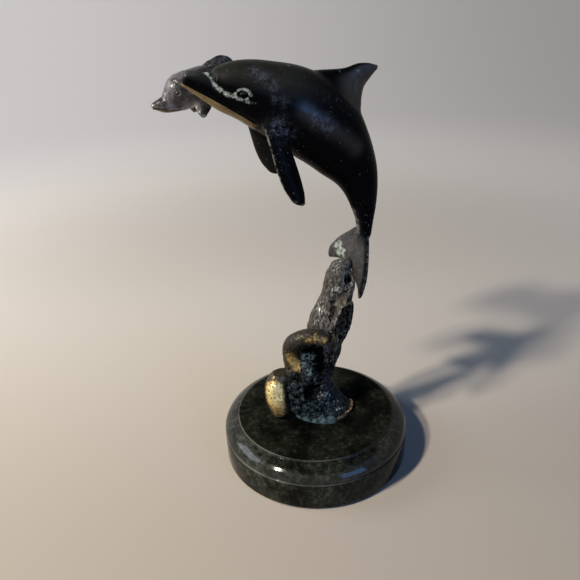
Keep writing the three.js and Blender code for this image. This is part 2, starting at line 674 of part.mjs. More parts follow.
// Front wave, fitted round the column
function frontWaveSolid(grow = 0) {
  const faceEnds = { endDome: FRONT_FACE_DOME, level: true };
  const face = spineSolid(waveStations(FRONT_FACE), { side: ACROSS, ...faceEnds, grow });
  const lipEnds = { startDome: FRONT_LIP_DOME, endDome: FRONT_LIP_DOME };
  return face.add(spineSolid(waveStations(FRONT_LIP), { side: LEFT, ...lipEnds, grow }));
}
addMesh(statue, 'front_wave', frontWaveSolid().subtract(columnClearance), wavePatina);

// Small wave, fitted to the front wave's side
const smallEnds = { startDome: SMALL_WAVE_DOME, endDome: SMALL_WAVE_DOME };
const smallWave = spineSolid(waveStations(SMALL_WAVE), { side: LEFT, ...smallEnds })
  .subtract(columnClearance)
  .subtract(frontWaveSolid(BRAZE_GAP));
addMesh(statue, 'small_wave', smallWave, wavePatina);

export default statue;
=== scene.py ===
"""A brass dolphin and her calf leap from a breaking wave on a turned marble base.

The pieces are modelled in millimetres, in the order in which the statue is put together, and are
brought to metres as each is finished.
"""

import math
import random

import bmesh
import bpy
import numpy as np
from mathutils import Matrix, Vector, noise
from mathutils.bvhtree import BVHTree


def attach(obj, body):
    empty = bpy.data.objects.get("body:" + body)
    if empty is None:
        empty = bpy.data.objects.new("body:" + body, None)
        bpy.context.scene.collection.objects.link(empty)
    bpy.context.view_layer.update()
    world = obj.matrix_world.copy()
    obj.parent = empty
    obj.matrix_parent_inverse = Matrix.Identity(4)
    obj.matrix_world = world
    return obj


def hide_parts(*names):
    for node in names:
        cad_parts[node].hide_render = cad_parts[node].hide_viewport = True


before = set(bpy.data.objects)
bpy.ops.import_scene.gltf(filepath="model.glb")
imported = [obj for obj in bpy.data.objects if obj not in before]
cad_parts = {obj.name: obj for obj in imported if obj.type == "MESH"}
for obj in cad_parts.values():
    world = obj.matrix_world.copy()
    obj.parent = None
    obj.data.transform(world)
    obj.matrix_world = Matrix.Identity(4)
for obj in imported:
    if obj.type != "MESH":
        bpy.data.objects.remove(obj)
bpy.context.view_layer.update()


# Felt pad: a disc of dark wool felt, punched from a sheet and glued under the marble.
# It hides the nut and keeps the stone from scratching the table.
FELT_RADIUS = 47.0
FELT_THICKNESS = 1.0
FELT_COLOUR = (0.018, 0.022, 0.019, 1)
FELT_FLUFF_COLOUR = (0.055, 0.06, 0.052, 1)
MILLIMETRE = 0.001


class Finish:
    """A procedural material, whose patterns read the piece's own coordinates or masks."""

    def __init__(self, name, **sockets):
        self.material = bpy.data.materials.new(name)
        self.material.use_nodes = True
        self.tree = self.material.node_tree
        self.shader = self.tree.nodes["Principled BSDF"]
        self.place = self.add("ShaderNodeTexCoord").outputs["Object"]
        for socket, value in sockets.items():
            self.feed(self.shader.inputs[socket.replace("_", " ")], value)

    def feed(self, socket, value):
        if isinstance(value, bpy.types.NodeSocket):
            self.tree.links.new(value, socket)
        else:
            socket.default_value = value

    def add(self, kind, inputs=None, **settings):
        node = self.tree.nodes.new(kind)
        for name, value in settings.items():
            setattr(node, name, value)
        for socket, value in (inputs or {}).items():
            self.feed(node.inputs[socket], value)
        return node

    def cloud(self, size, detail=3.0, roughness=0.55, distortion=0.0, drawn=1.0):
        """Soft noise whose patches are about `size` millimetres across, and `drawn` times as tall."""
        squeeze = {0: self.place, 1: (1, 1, 1 / drawn)}
        values = {
            "Vector": self.add("ShaderNodeVectorMath", squeeze, operation="MULTIPLY").outputs["Vector"],
            "Scale": 1 / (size * MILLIMETRE),
            "Detail": detail,
            "Roughness": roughness,
            "Distortion": distortion,
        }
        return self.add("ShaderNodeTexNoise", values).outputs["Fac"]

    def grains(self, size, feature="F1"):
        """Distance to the nearest of scattered points, about `size` millimetres apart."""
        values = {"Vector": self.place, "Scale": 1 / (size * MILLIMETRE)}
        return self.add("ShaderNodeTexVoronoi", values, feature=feature).outputs["Distance"]

    def mask(self, name):
        return self.add("ShaderNodeAttribute", attribute_name=name).outputs["Fac"]

    def levels(self, value, low, high, start=0.0, end=1.0):
        values = {"Value": value, "From Min": low, "From Max": high, "To Min": start, "To Max": end}
        return self.add("ShaderNodeMapRange", values, interpolation_type="SMOOTHSTEP").outputs["Result"]

    def levels_along(self, axis, low, high, start=0.0, end=1.0):
        """Levels between two places on an axis, in millimetres."""
        place = self.add("ShaderNodeSeparateXYZ", {"Vector": self.place}).outputs[axis]
        return self.levels(place, low * MILLIMETRE, high * MILLIMETRE, start, end)

    def levels_out(self, weights, low, high):
        """Levels between two distances of the weighted point from the origin, in millimetres."""
        weighted = self.add("ShaderNodeVectorMath", {0: self.place, 1: weights}, operation="MULTIPLY")
        length = self.add("ShaderNodeVectorMath", {0: weighted.outputs[0]}, operation="LENGTH")
        return self.levels(length.outputs["Value"], low * MILLIMETRE, high * MILLIMETRE)

    def maths(self, operation, a, b):
        node = self.add("ShaderNodeMath", {0: a, 1: b}, operation=operation)
        node.use_clamp = operation != "SUBTRACT"
        return node.outputs[0]

    def times(self, value, *factors):
        for factor in factors:
            value = self.maths("MULTIPLY", value, factor)
        return value

    def blend(self, amount, under, over):
        node = self.add("ShaderNodeMix", {0: amount, 6: under, 7: over}, data_type="RGBA")
        return node.outputs[2]

    def bump(self, height, depth):
        """Raises the surface by `depth` millimetres where the height is 1, over earlier bumps."""
        values = {"Height": height, "Strength": 1.0, "Distance": depth * MILLIMETRE}
        node = self.add("ShaderNodeBump", values)
        earlier = self.shader.inputs["Normal"].links
        if earlier:
            self.feed(node.inputs["Normal"], earlier[0].from_socket)
        self.feed(self.shader.inputs["Normal"], node.outputs["Normal"])

    def paint(self, colour=None, roughness=None, metallic=None, gloss=None):
        sockets = ("Base Color", "Roughness", "Metallic", "Specular IOR Level")
        for socket, value in zip(sockets, (colour, roughness, metallic, gloss)):
            if value is not None:
                self.feed(self.shader.inputs[socket], value)


def show(name, bm, finish):
    """A finished piece from a bmesh in millimetres."""
    mesh = bpy.data.meshes.new(name)
    bm.to_mesh(mesh)
    bm.free()
    mesh.transform(Matrix.Scale(MILLIMETRE, 4))
    mesh.materials.clear()
    mesh.materials.append(finish.material)
    piece = bpy.data.objects.new(name, mesh)
    bpy.context.scene.collection.objects.link(piece)
    return piece


def turn_on_lathe(profile, steps, edge):
    """A turned piece from [radius, height] points that start and end on the axis; its corners are eased."""
    bm = bmesh.new()
    points = [bm.verts.new((radius, 0, height)) for radius, height in profile]
    lines = [bm.edges.new(pair) for pair in zip(points, points[1:])]
    bmesh.ops.spin(
        bm, geom=points + lines, axis=(0, 0, 1), cent=(0, 0, 0), angle=math.tau, steps=steps, use_merge=True
    )
    bmesh.ops.remove_doubles(bm, verts=bm.verts, dist=0.001)
    bmesh.ops.recalc_face_normals(bm, faces=bm.faces)
    corners = [e for e in bm.edges if e.is_manifold and e.calc_face_angle() > 0.35]
    bmesh.ops.bevel(
        bm, geom=corners, offset=edge, offset_type="OFFSET", segments=3, profile=0.5, affect="EDGES",
        material=-1,
    )
    for face in bm.faces:
        face.smooth = True
    return bm


felt_finish = Finish("wool_felt", Roughness=1.0)
felt_fibre = felt_finish.cloud(0.5, detail=6.0, roughness=0.7)
felt_finish.paint(colour=felt_finish.blend(felt_fibre, FELT_COLOUR, FELT_FLUFF_COLOUR))
felt_finish.bump(felt_fibre, 0.15)
felt_profile = [(0, 0), (FELT_RADIUS, 0), (FELT_RADIUS, FELT_THICKNESS), (0, FELT_THICKNESS)]
felt_pad = show("felt_pad.visual", turn_on_lathe(felt_profile, steps=96, edge=0.25), felt_finish)
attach(felt_pad, "root")
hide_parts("felt_pad")


# Marble base: dark green serpentine, turned on a lathe and polished, with a groove under its shoulder
# and a fine step round the top face. It is bored from below for the stud.
BASE_RADIUS = 50.0
BASE_TOP = 24.7
BAND_TOP = 16.0
GROOVE_DEPTH = 0.7
GROOVE_TOP = 16.8
SHOULDER_TOP = 23.6
SHOULDER_RADIUS = 43.0
SHOULDER_SWEEP = math.radians(60)
TOP_FACE_RADIUS = 42.3
STUD_AXIS = (4.8, -0.2)
STUD_HOLE_RADIUS = 3.4
COUNTERBORE_RADIUS = 12.0
COUNTERBORE_TOP = 10.1
MARBLE_BLACK = (0.0020, 0.0026, 0.0018, 1)
MARBLE_GREEN = (0.011, 0.013, 0.008, 1)
MARBLE_GREY = (0.066, 0.070, 0.054, 1)
MARBLE_CLOUD = (0.088, 0.094, 0.076, 1)
MARBLE_VEIN = (0.14, 0.145, 0.115, 1)
MARBLE_EDGE_HIGHLIGHT = (0.24, 0.25, 0.22, 1)


def cut_away(piece, cutter):
    """Takes a cutter's shape out of a piece and clears the cutter away."""
    cut = piece.modifiers.new("cut", "BOOLEAN")
    cut.operation = "DIFFERENCE"
    cut.solver = "EXACT"
    cut.object = cutter
    settled = bpy.data.meshes.new_from_object(piece.evaluated_get(bpy.context.evaluated_depsgraph_get()))
    piece.modifiers.clear()
    piece.data = settled
    bpy.data.objects.remove(cutter)


def serpentine(name):
    """Polished stone: black and green patches, grey side clouds painted lighter on the left as painted
    light, fine veins, and pale edge lines that are painted highlights.
    """
    finish = Finish(name, IOR=1.5, Specular_IOR_Level=0.2)
    patch = finish.cloud(20, detail=7.0, roughness=0.62, distortion=0.3)
    fine = finish.cloud(3.0, detail=10.0, roughness=0.78)
    crack = finish.cloud(18, detail=7.0, roughness=0.66, distortion=0.7)
    colour = finish.blend(finish.levels(patch, 0.36, 0.66), MARBLE_BLACK, MARBLE_GREEN)
    mottle = finish.times(finish.levels(fine, 0.46, 0.76), finish.levels(patch, 0.36, 0.62))
    colour = finish.blend(mottle, colour, MARBLE_GREY)
    # Grey clouds on the side: real mottle, with painted light that makes them lighter on the left and fades
    # them out towards the right.
    clouds_and_left_light = finish.times(
        finish.levels(fine, 0.40, 0.72),
        finish.levels(patch, 0.34, 0.62),
        finish.levels_along("Z", SHOULDER_TOP, SHOULDER_TOP + 0.7, 1.0, 0.0),
        finish.levels_along("X", -35, 35, 1.0, 0.1),
    )
    colour = finish.blend(clouds_and_left_light, colour, MARBLE_CLOUD)
    from_crack = finish.maths("ABSOLUTE", finish.maths("SUBTRACT", crack, 0.5), 0.0)
    vein = finish.times(finish.levels(from_crack, 0.0, 0.010, 0.2, 0.0), finish.levels(fine, 0.42, 0.62))
    colour = finish.blend(vein, colour, MARBLE_VEIN)
    # Painted highlight: pale lines on the groove's lower edge and on the top face's step, fading out
    # towards the right, away from the lamps.
    rim = finish.times(
        finish.levels_along("Z", BAND_TOP - 0.55, BAND_TOP - 0.2),
        finish.levels_along("Z", BAND_TOP + 0.1, BAND_TOP + 0.4, 1.0, 0.0),
    )
    step = finish.times(
        finish.levels_out((1, 1, 0), TOP_FACE_RADIUS - 0.7, TOP_FACE_RADIUS - 0.2),
        finish.levels_along("Z", BASE_TOP - 0.6, BASE_TOP - 0.2),
    )
    wear_and_highlight = finish.times(
        finish.maths("MAXIMUM", rim, step),
        0.6,
        finish.levels(patch, 0.36, 0.60, 0.2, 1.0),
        finish.levels_along("X", -30, 30, 1.0, 0.15),
    )
    finish.paint(colour=finish.blend(wear_and_highlight, colour, MARBLE_EDGE_HIGHLIGHT))
    top = (BASE_TOP - 0.5, BASE_TOP - 0.1)
    finish.paint(roughness=finish.levels_along("Z", *top, 0.11, 0.36))
    side_gloss = finish.levels_along("Z", BAND_TOP, BAND_TOP + 1.2, 0.10, 0.38)
    finish.paint(gloss=finish.times(side_gloss, finish.levels_along("Z", *top, 1.0, 0.03)))
    return finish


marble_finish = serpentine("serpentine_marble")
shoulder_run = (BASE_RADIUS - SHOULDER_RADIUS) / (1 - math.cos(SHOULDER_SWEEP))
shoulder_rise = (SHOULDER_TOP - GROOVE_TOP) / math.sin(SHOULDER_SWEEP)
shoulder_curve = []
for shoulder_step in range(17):
    shoulder_angle = SHOULDER_SWEEP * shoulder_step / 16
    shoulder_curve.append((
        BASE_RADIUS - shoulder_run * (1 - math.cos(shoulder_angle)),
        GROOVE_TOP + shoulder_rise * math.sin(shoulder_angle),
    ))
base_profile = [
    (0, FELT_THICKNESS),
    (BASE_RADIUS - 0.6, FELT_THICKNESS),
    (BASE_RADIUS, FELT_THICKNESS + 0.6),
    (BASE_RADIUS, BAND_TOP),
    (BASE_RADIUS - GROOVE_DEPTH, BAND_TOP),
    (BASE_RADIUS - GROOVE_DEPTH, GROOVE_TOP),
    *shoulder_curve,
    (TOP_FACE_RADIUS, SHOULDER_TOP),
    (TOP_FACE_RADIUS, BASE_TOP),
    (0, BASE_TOP),
]
marble_base = show("marble_base.visual", turn_on_lathe(base_profile, steps=160, edge=0.3), marble_finish)
bores = bmesh.new()
for bore_radius, bore_top in ((COUNTERBORE_RADIUS, COUNTERBORE_TOP), (STUD_HOLE_RADIUS, BASE_TOP + 2)):
    bore_height = bore_top + 2
    bmesh.ops.create_cone(
        bores, cap_ends=True, segments=64, radius1=bore_radius, radius2=bore_radius, depth=bore_height,
        matrix=Matrix.Translation((*STUD_AXIS, bore_top - bore_height / 2)),
    )
    cut_away(marble_base, show("bore", bores.copy(), marble_finish))
    bmesh.ops.delete(bores, geom=bores.verts, context="VERTS")
bores.free()
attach(marble_base, "root")
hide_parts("marble_base")


# Stud, washer and nut: zinc-plated M6 hardware, which draws the wave's foot down on the marble from below.
# The plain shapes of the CAD nodes are right, so these keep them and get the plating's satin look.
PLATE_COLOUR = (0.52, 0.53, 0.55, 1)
PLATE_DULL_COLOUR = (0.33, 0.33, 0.33, 1)


def dress(nodes, name, bright, dull, patch, satin):
    """Gives CAD nodes a metal that dulls in patches, `patch` millimetres across."""
    finish = Finish(name, Metallic=1.0)
    bloom = finish.cloud(patch, detail=5.0)
    finish.paint(colour=finish.blend(bloom, bright, dull), roughness=finish.levels(bloom, 0.3, 0.7, *satin))
    for node in nodes:
        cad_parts[node].data.materials.clear()
        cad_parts[node].data.materials.append(finish.material)


hardware = ("stud_washer", "stud_nut", "mounting_stud")
dress(hardware, "zinc_plate", PLATE_COLOUR, PLATE_DULL_COLOUR, patch=1.6, satin=(0.28, 0.5))


# Wave column: a rough sand casting of the rising water, patinated grey, with a spreading foot, a second
# crest up its right side, a low gilt rim on the marble, and an arm at the top that carries the flukes.
COLUMN = [
    (4.8, -0.2, 0, 15.6, 14.8),
    (4.8, -0.2, 3.3, 13.6, 13),
    (4.2, 0.8, 9.3, 9, 8.6),
    (3, 2, 19.3, 6.4, 6.8),
    (3.6, 2.5, 28.3, 7.6, 7.2),
    (4.4, 3, 38.3, 8.2, 7.8),
    (5.4, 3, 48.3, 8.4, 7.8),
    (8.4, 3, 58.3, 8.6, 7.8),
    (12.4, 3, 67.3, 8.6, 7.4),
    (14.2, 3.2, 75.3, 8, 7),
    (14.2, 3.4, 80.3, 6.4, 6.2),
    (14.4, 3.6, 83.6, 4.8, 5),
]
SIDE_CREST = [
    (6.6, 2, 20, 3, 3.2),
    (8.7, 1, 31.3, 4.1, 4.4),
    (11.8, 0, 43.3, 4.6, 4.8),
    (14.8, -1, 54.3, 5, 5),
    (16.6, -1.6, 64.2, 4.2, 4.4),
]
FOOT_RIM = [
    (20.4, 4, 0.5, 0.7, 0.8),
    (20.6, 0, 1.1, 1.0, 0.9),
    (18.6, -5, 1.2, 1.1, 0.9),
    (14.6, -9.4, 0.6, 0.8, 0.8),
]
SEAT_ARM = [(14.4, 3.6, 83.4, 3.6, 3.6), (18.5, 5.8, 85.0, 3.3, 3.3)]
RING_POINTS = 36
ACROSS = Vector((1, 0, 0))
TO_LEFT_SIDE = Vector((0, 1, 0))
CREST_BLOCK = [
    (15, -6.2, 66.2), (12.2, -6.1, 59), (9, -5.5, 50.5),
    (11.7, -4.6, 65.8), (8.6, -4.2, 58), (7, -3.8, 51),
    (13.2, -4.6, 68.3), (15.7, -4.2, 69.6), (18.5, -2.6, 68.5),
    (20.2, -2.6, 62), (18, -3, 54), (13, -3.5, 48.5),
    (14, 0, 68), (16, 0, 55), (9, 0, 50),
]
CREST_FACETS = [
    ((15, -5.2, 67.5), (-0.41, -0.72, 0.56), 3.5),
    ((17.8, -4, 67.9), (-0.2, -0.75, 0.62), 3),
    ((16, -4.4, 60), (0.39, -0.9, -0.195), 7.5),
]
CREST_RIDGE = [(14.6, -6, 65), (12.2, -5.9, 59), (9, -5.4, 50.5)]
CREST_LIT_TOP = [(13.6, -4.8, 67), (16.4, -4.3, 67.9), (18.6, -3.6, 67.8)]
CREST_TOP_FACE = np.array((-0.3, -0.74, 0.6))
CREST_SHADED_FACE = np.array((0.5, -0.84, -0.2))
SEAT_CAVITY = (18.4, -2.4, 78.4)
COLUMN_GLINTS = [
    (3.6, -1.6, 63), (6.4, -4.2, 60), (3.8, -3.8, 55.4), (7.4, -4.7, 54.4), (9.4, -4.7, 57),
    (11.7, -3.6, 73.3), (18.8, -3, 73.5),
]
COLUMN_SPECKS = [(8.1, -5.8, 11.6), (11.3, -6.3, 7.8), (12, -7.6, 5)]
COLUMN_PALE = [(-2, -13.4, 1.4), (3.5, -14.2, 1.4), (8, -13.6, 1.6)]
GILT_RIM = [(20.8, 4.5, 1.2), (21, 0, 2), (19, -5.6, 2.1), (14.8, -10.2, 1.5), (11.4, -12.4, 1.5)]
COLUMN_RESIDUE = [(11, 1.5, 84), (14.4, 0.5, 85.5), (17, 3, 86)]
WAVE_GREY = (0.062, 0.062, 0.058, 1)
WAVE_DARK = (0.0007, 0.0009, 0.0013, 1)
WAVE_BROWN = (0.030, 0.025, 0.017, 1)
WAVE_BRONZE = (0.088, 0.070, 0.043, 1)
WAVE_TEAL = (0.0035, 0.0070, 0.0090, 1)
WAVE_TEAL_PALE = (0.105, 0.165, 0.180, 1)
WAVE_GLINT = (0.72, 0.71, 0.68, 1)
WAVE_CHALK = (0.46, 0.50, 0.48, 1)
WAVE_TAN = (0.088, 0.080, 0.054, 1)
GILT_BROWN = (0.19, 0.13, 0.055, 1)
GILT = (0.84, 0.58, 0.21, 1)
GILT_PALE_AND_HIGHLIGHT = (1.0, 0.87, 0.43, 1)


def run_smooth(rows, steps=6):
    """Rows of numbers with a smooth run of further rows between each two."""
    rows = np.array(rows, float)
    ends = np.vstack([2 * rows[0] - rows[1], rows, 2 * rows[-1] - rows[-2]])
    run = []
    for before, a, b, after in zip(ends, ends[1:], ends[2:], ends[3:]):
        for t in np.arange(steps) / steps:
            curve = (b - before) * t + (2 * before - 5 * a + 4 * b - after) * t**2
            run.append(a + 0.5 * (curve + (3 * a - before - 3 * b + after) * t**3))
    return np.array([*run, rows[-1]])


def spine_sections(rows, side, level=False):
    """Sections (centre, across, up) from rows (x, y, z, half across, half up), level or square to them."""
    run = run_smooth(rows)
    paths = np.gradient(run[:, :3], axis=0)
    sections = []
    for (x, y, z, half_across, half_up), path in zip(run, paths):
        along = Vector(path).normalized()
        across = side.copy() if level else (side - along * side.dot(along)).normalized()
        up = Vector((-side.y, side.x, 0)) if level else along.cross(across)
        sections.append((Vector((x, y, z)), across * half_across, up * half_up))
    return sections


def cast_ring(bm, centre, across, up):
    """One section's closed line, as its edges."""
    place = Matrix((across, up, across.cross(up).normalized())).transposed().to_4x4()
    place.translation = centre
    made = bmesh.ops.create_circle(bm, segments=RING_POINTS, radius=1, matrix=place)
    return list({edge for vert in made["verts"] for edge in vert.link_edges})


def cast_through(bm, sections, start_dome=0.0, end_dome=0.0):
    """Pours a solid through sections, and rounds its ends off by the domes' lengths."""
    def dome(end, inner, length):
        centre, across, up = end
        outward = (centre - inner[0]).normalized()
        shares = (0.3, 0.55, 0.75, 0.9, 0.98) if length else ()
        shrink = [math.sqrt(1 - share * share) for share in shares]
        return [(centre + outward * length * s, across * k, up * k) for s, k in zip(shares, shrink)]

    start = dome(sections[0], sections[1], start_dome)[::-1]
    finish = dome(sections[-1], sections[-2], end_dome)
    rings = [cast_ring(bm, *section) for section in [*start, *sections, *finish]]
    for lower, upper in zip(rings, rings[1:]):
        bmesh.ops.bridge_loops(bm, edges=lower + upper)
    for end in (rings[0], rings[-1]):
        bmesh.ops.edgeloop_fill(bm, edges=end)


def wax_of(*pours):
    """Wax poured through runs of sections, each with the lengths of its first and last domes."""
    bm = bmesh.new()
    for sections, *domes in pours:
        cast_through(bm, sections, *domes)
    return bm


def fuse(bm, voxel, passes):
    """Melts the solids of one casting into a single skin and eases it, as the foundry's wax is."""
    bmesh.ops.recalc_face_normals(bm, faces=bm.faces)
    wax = bpy.data.meshes.new("wax")
    bm.to_mesh(wax)
    bm.free()
    model = bpy.data.objects.new("wax", wax)
    bpy.context.scene.collection.objects.link(model)
    melt = model.modifiers.new("melt", "REMESH")
    melt.mode = "VOXEL"
    melt.voxel_size = voxel
    ease = model.modifiers.new("ease", "SMOOTH")
    ease.factor = 0.5
    ease.iterations = passes
    skin = bpy.data.meshes.new_from_object(model.evaluated_get(bpy.context.evaluated_depsgraph_get()))
    bpy.data.objects.remove(model)
    return skin


def points_of(mesh):
    points = np.empty(len(mesh.vertices) * 3)
    mesh.vertices.foreach_get("co", points)
    return points.reshape(-1, 3)


def normals_of(mesh):
    normals = np.empty(len(mesh.vertices) * 3)
    mesh.vertex_normals.foreach_get("vector", normals)
    return normals.reshape(-1, 3)


def set_points(mesh, points):
    mesh.vertices.foreach_set("co", points.ravel())
    mesh.update()


def push(mesh, heights):
    """Moves each point out along its normal by its height."""
    set_points(mesh, points_of(mesh) + normals_of(mesh) * heights[:, None])


def set_masks(mesh, **masks):
    for name, values in masks.items():
        layer = mesh.attributes.new(name, "FLOAT", "POINT")
        spread = np.clip(np.broadcast_to(values, len(mesh.vertices)), 0, 1.5)
        layer.data.foreach_set("value", spread.astype(np.float32))


def fades(gaps, reach, power=2):
    """1 where there is no gap, falling to 0 at about twice the reach."""
    return np.exp(-((gaps / reach) ** power))


def near_points(points, centres, reach):
    gaps = [np.linalg.norm(points - np.array(centre), axis=1) for centre in centres]
    return fades(np.min(gaps, axis=0), reach)


def rises(values, start, end):
    """0 at the start, climbing evenly to 1 at the end."""
    return np.clip((values - start) / (end - start), 0, 1)


def near_line(points, line):
    """Each point's distance from a line of points."""
    line = np.array(line, float)
    gaps = []
    for a, b in zip(line, line[1:]):
        share = np.clip((points - a) @ (b - a) / ((b - a) @ (b - a)), 0, 1)
        gaps.append(np.linalg.norm(points - a - share[:, None] * (b - a), axis=1))
    return np.min(gaps, axis=0)


def neighbour_mean(mesh, chosen=None):
    """A function that gives, for each (chosen) point's values, the mean of its neighbours' values."""
    ends = np.empty(len(mesh.edges) * 2, np.int64)
    mesh.edges.foreach_get("vertices", ends)
    a, b = ends.reshape(-1, 2).T
    at, other = np.concatenate([a, b]), np.concatenate([b, a])
    if chosen is not None:
        at, other = at[chosen[at]], other[chosen[at]]
    total = len(mesh.vertices)
    count = np.maximum(np.bincount(at, minlength=total), 1)

    def mean(values):
        sums = [np.bincount(at, weights=values[other, k], minlength=total) for k in range(values.shape[1])]
        return np.stack(sums, axis=1) / count[:, None]

    return mean


def raised_edges(mesh, passes=3):
    """Each point's height above the mean round it, in millimetres: ridges are high, hollows low."""
    points, normals = points_of(mesh), normals_of(mesh)
    mean, eased = neighbour_mean(mesh), points
    for _ in range(passes):
        eased = mean(eased)
    return ((points - eased) * normals).sum(axis=1)


def fill_corners(mesh, passes, where):
    """Lets wax run into the hollow corners of a skin, so that fins grow out of the body in soft curves."""
    mean = neighbour_mean(mesh, where > 0)
    points = points_of(mesh)
    for turn in range(passes):
        if turn % 10 == 0:
            set_points(mesh, points)
            normals = normals_of(mesh)
        rise = ((mean(points) - points) * normals).sum(axis=1)
        points = points + normals * (np.clip(rise - 0.001, 0, None) * where)[:, None]
    set_points(mesh, points)


def file_flat(mesh, facets):
    """Files facets (centre, outward direction, reach) on a skin."""
    points = points_of(mesh)
    for centre, outward, reach in facets:
        outward = np.array(outward) / np.linalg.norm(outward)
        proud = np.clip((points - np.array(centre)) @ outward, 0, None)
        near = np.clip(2 - np.linalg.norm(points - np.array(centre), axis=1) / reach, 0, 1)
        points = points - outward * (proud * near)[:, None]
    set_points(mesh, points)


def roughness_of(points, size, octaves=3, seed=0.0):
    """Rough noise at each point, about -1 to 1, whose lumps are `size` millimetres across."""
    shift = Vector((seed, -seed, 2 * seed))
    return np.array([noise.fractal(Vector(p) / size + shift, 0.9, 2.1, octaves) for p in points])


def pitted(points, size, seed=0.0):
    """Sharp facets and pits of a rough casting at each point, 0 in a pit and about 1 on a knob."""
    shift = Vector((seed, seed, -seed))
    return np.array([1 - noise.voronoi(Vector(p) / size + shift)[0][0] for p in points])


def show_skin(name, skin, finish):
    bm = bmesh.new()
    bm.from_mesh(skin)
    for face in bm.faces:
        face.smooth = True
    return show(name, bm, finish)


def on_marble(rows):
    return [(x, y, height + BASE_TOP, *halves) for x, y, height, *halves in rows]


def wave_finish(name):
    """Rough cast wave: brown and grey patina, dark hollows, painted shade and a tan partly painted light by
    mask, glints, blue verdigris, and gilt by mask, its palest gold partly a painted highlight.
    """
    finish = Finish(name, IOR=1.5, Specular_IOR_Level=0.12)
    mottle = finish.cloud(1.7, detail=5.0, roughness=0.7)
    grain = finish.cloud(0.8, detail=4.0, roughness=0.65)
    ridge, pale, smooth = finish.mask("ridge"), finish.mask("pale"), finish.mask("bronze")
    ground = finish.blend(finish.levels(mottle, 0.38, 0.62), WAVE_BROWN, WAVE_GREY)
    ground = finish.blend(smooth, ground, WAVE_BRONZE)
    # Tan tone; on the crest's top facet it is partly painted light.
    ground = finish.blend(finish.mask("tan"), ground, WAVE_TAN)
    ground = finish.blend(finish.mask("blue"), ground, WAVE_TEAL)
    froth = finish.times(
        finish.levels(mottle, 0.40, 0.62),
        finish.levels(ridge, 0.0, 0.6, 0.4, 1.0),
        finish.levels(grain, 0.34, 0.58, 0.2, 1.0),
        pale,
    )
    bloom = finish.times(finish.levels(pale, 0.6, 1.0), finish.levels(mottle, 0.28, 0.56, 0.25, 1.0))
    ground = finish.blend(finish.maths("MAXIMUM", froth, bloom), ground, WAVE_TEAL_PALE)
    # Near black from patina in the hollows, and painted shade where the shade mask is laid.
    hollows_and_shade = finish.levels(finish.maths("ADD", finish.mask("hollow"), finish.mask("dark")), 0.1, 0.9)
    ground = finish.blend(hollows_and_shade, ground, WAVE_DARK)
    drips = finish.levels(finish.cloud(1.0, detail=4.0, roughness=0.6, drawn=2.2), 0.44, 0.58)
    rubbed = finish.times(finish.levels(ridge, 0.0, 0.4, 0.3, 1.0), drips, finish.mask("rubbed"))
    ground = finish.blend(rubbed, ground, WAVE_GLINT)
    dots = finish.levels(finish.grains(2.3), 0.20, 0.32, 1.0, 0.0)
    chalk = finish.maths("MAXIMUM", finish.levels(grain, 0.54, 0.66, 0.0, 0.4), dots)
    ground = finish.blend(finish.times(finish.mask("chalk"), chalk), ground, WAVE_CHALK)
    ragged = finish.levels(mottle, 0.28, 0.72, 0.28, -0.28)
    leaf = finish.maths("SUBTRACT", finish.mask("gilt"), ragged)
    gold = finish.blend(finish.levels(leaf, 0.35, 0.75), GILT_BROWN, GILT)
    # The palest gold, where the leaf mask is strongest, is partly a painted highlight.
    gold = finish.blend(finish.levels(leaf, 0.75, 1.25), gold, GILT_PALE_AND_HIGHLIGHT)
    pits = finish.levels(finish.cloud(1.2, detail=5.0, roughness=0.7), 0.38, 0.47)
    laid = finish.levels(finish.mask("gilt"), 0.05, 0.35)
    gilt = finish.times(finish.levels(leaf, 0.15, 0.5), pits, laid)
    finish.paint(colour=finish.blend(gilt, ground, gold))
    bare = finish.maths("MAXIMUM", rubbed, finish.times(smooth, 0.75))
    finish.paint(metallic=finish.maths("MAXIMUM", bare, finish.times(gilt, 0.85)))
    rough = finish.blend(smooth, finish.levels(grain, 0.3, 0.7, 0.34, 0.52), (0.36, 0.36, 0.36, 1))
    finish.paint(roughness=finish.blend(gilt, rough, (0.48, 0.48, 0.48, 1)))
    gloss = finish.levels(ridge, 0.0, 1.0, 0.08, 0.3)
    finish.paint(gloss=finish.times(gloss, finish.levels(hollows_and_shade, 0.3, 1.0, 1.0, 0.1)))
    finish.bump(finish.times(grain, finish.levels(smooth, 0.0, 1.0, 1.0, 0.2)), 0.16)
    finish.bump(pits, 0.12)
    return finish


wave_cast_finish = wave_finish("cast_wave")
column_wax = wax_of(
    (spine_sections(on_marble(COLUMN), ACROSS, level=True), 0, 2.5),
    (spine_sections(on_marble(SIDE_CREST), ACROSS), 3.4, 3.4),
    (spine_sections(on_marble(FOOT_RIM), Vector((0, 0, 1))), 1.5, 1.5),
)
crest_corners = [column_wax.verts.new(corner) for corner in on_marble(CREST_BLOCK)]
crest_hull = bmesh.ops.convex_hull(column_wax, input=crest_corners)
bmesh.ops.delete(column_wax, geom=crest_hull["geom_interior"], context="VERTS")
cast_through(column_wax, spine_sections(on_marble(SEAT_ARM), TO_LEFT_SIDE), 3)
column_skin = fuse(column_wax, voxel=0.36, passes=3)
column_points = points_of(column_skin)
crest_near = fades(near_line(column_points, on_marble(CREST_RIDGE)), 7.5, 4)
push(column_skin, 0.7 * roughness_of(column_points, 9.0, 2, 3.1) * (1 - 0.8 * crest_near))
file_flat(column_skin, [(on_marble([centre])[0], *rest) for centre, *rest in CREST_FACETS])
column_points = points_of(column_skin)
column_height = column_points[:, 2] - BASE_TOP
column_low = rises(column_height, 30, 16)
column_drawn = column_points * np.array((1, 1, 0.5))
column_rough = (0.32 + 0.13 * column_low) * roughness_of(column_drawn, 1.9, 4, 6.4)
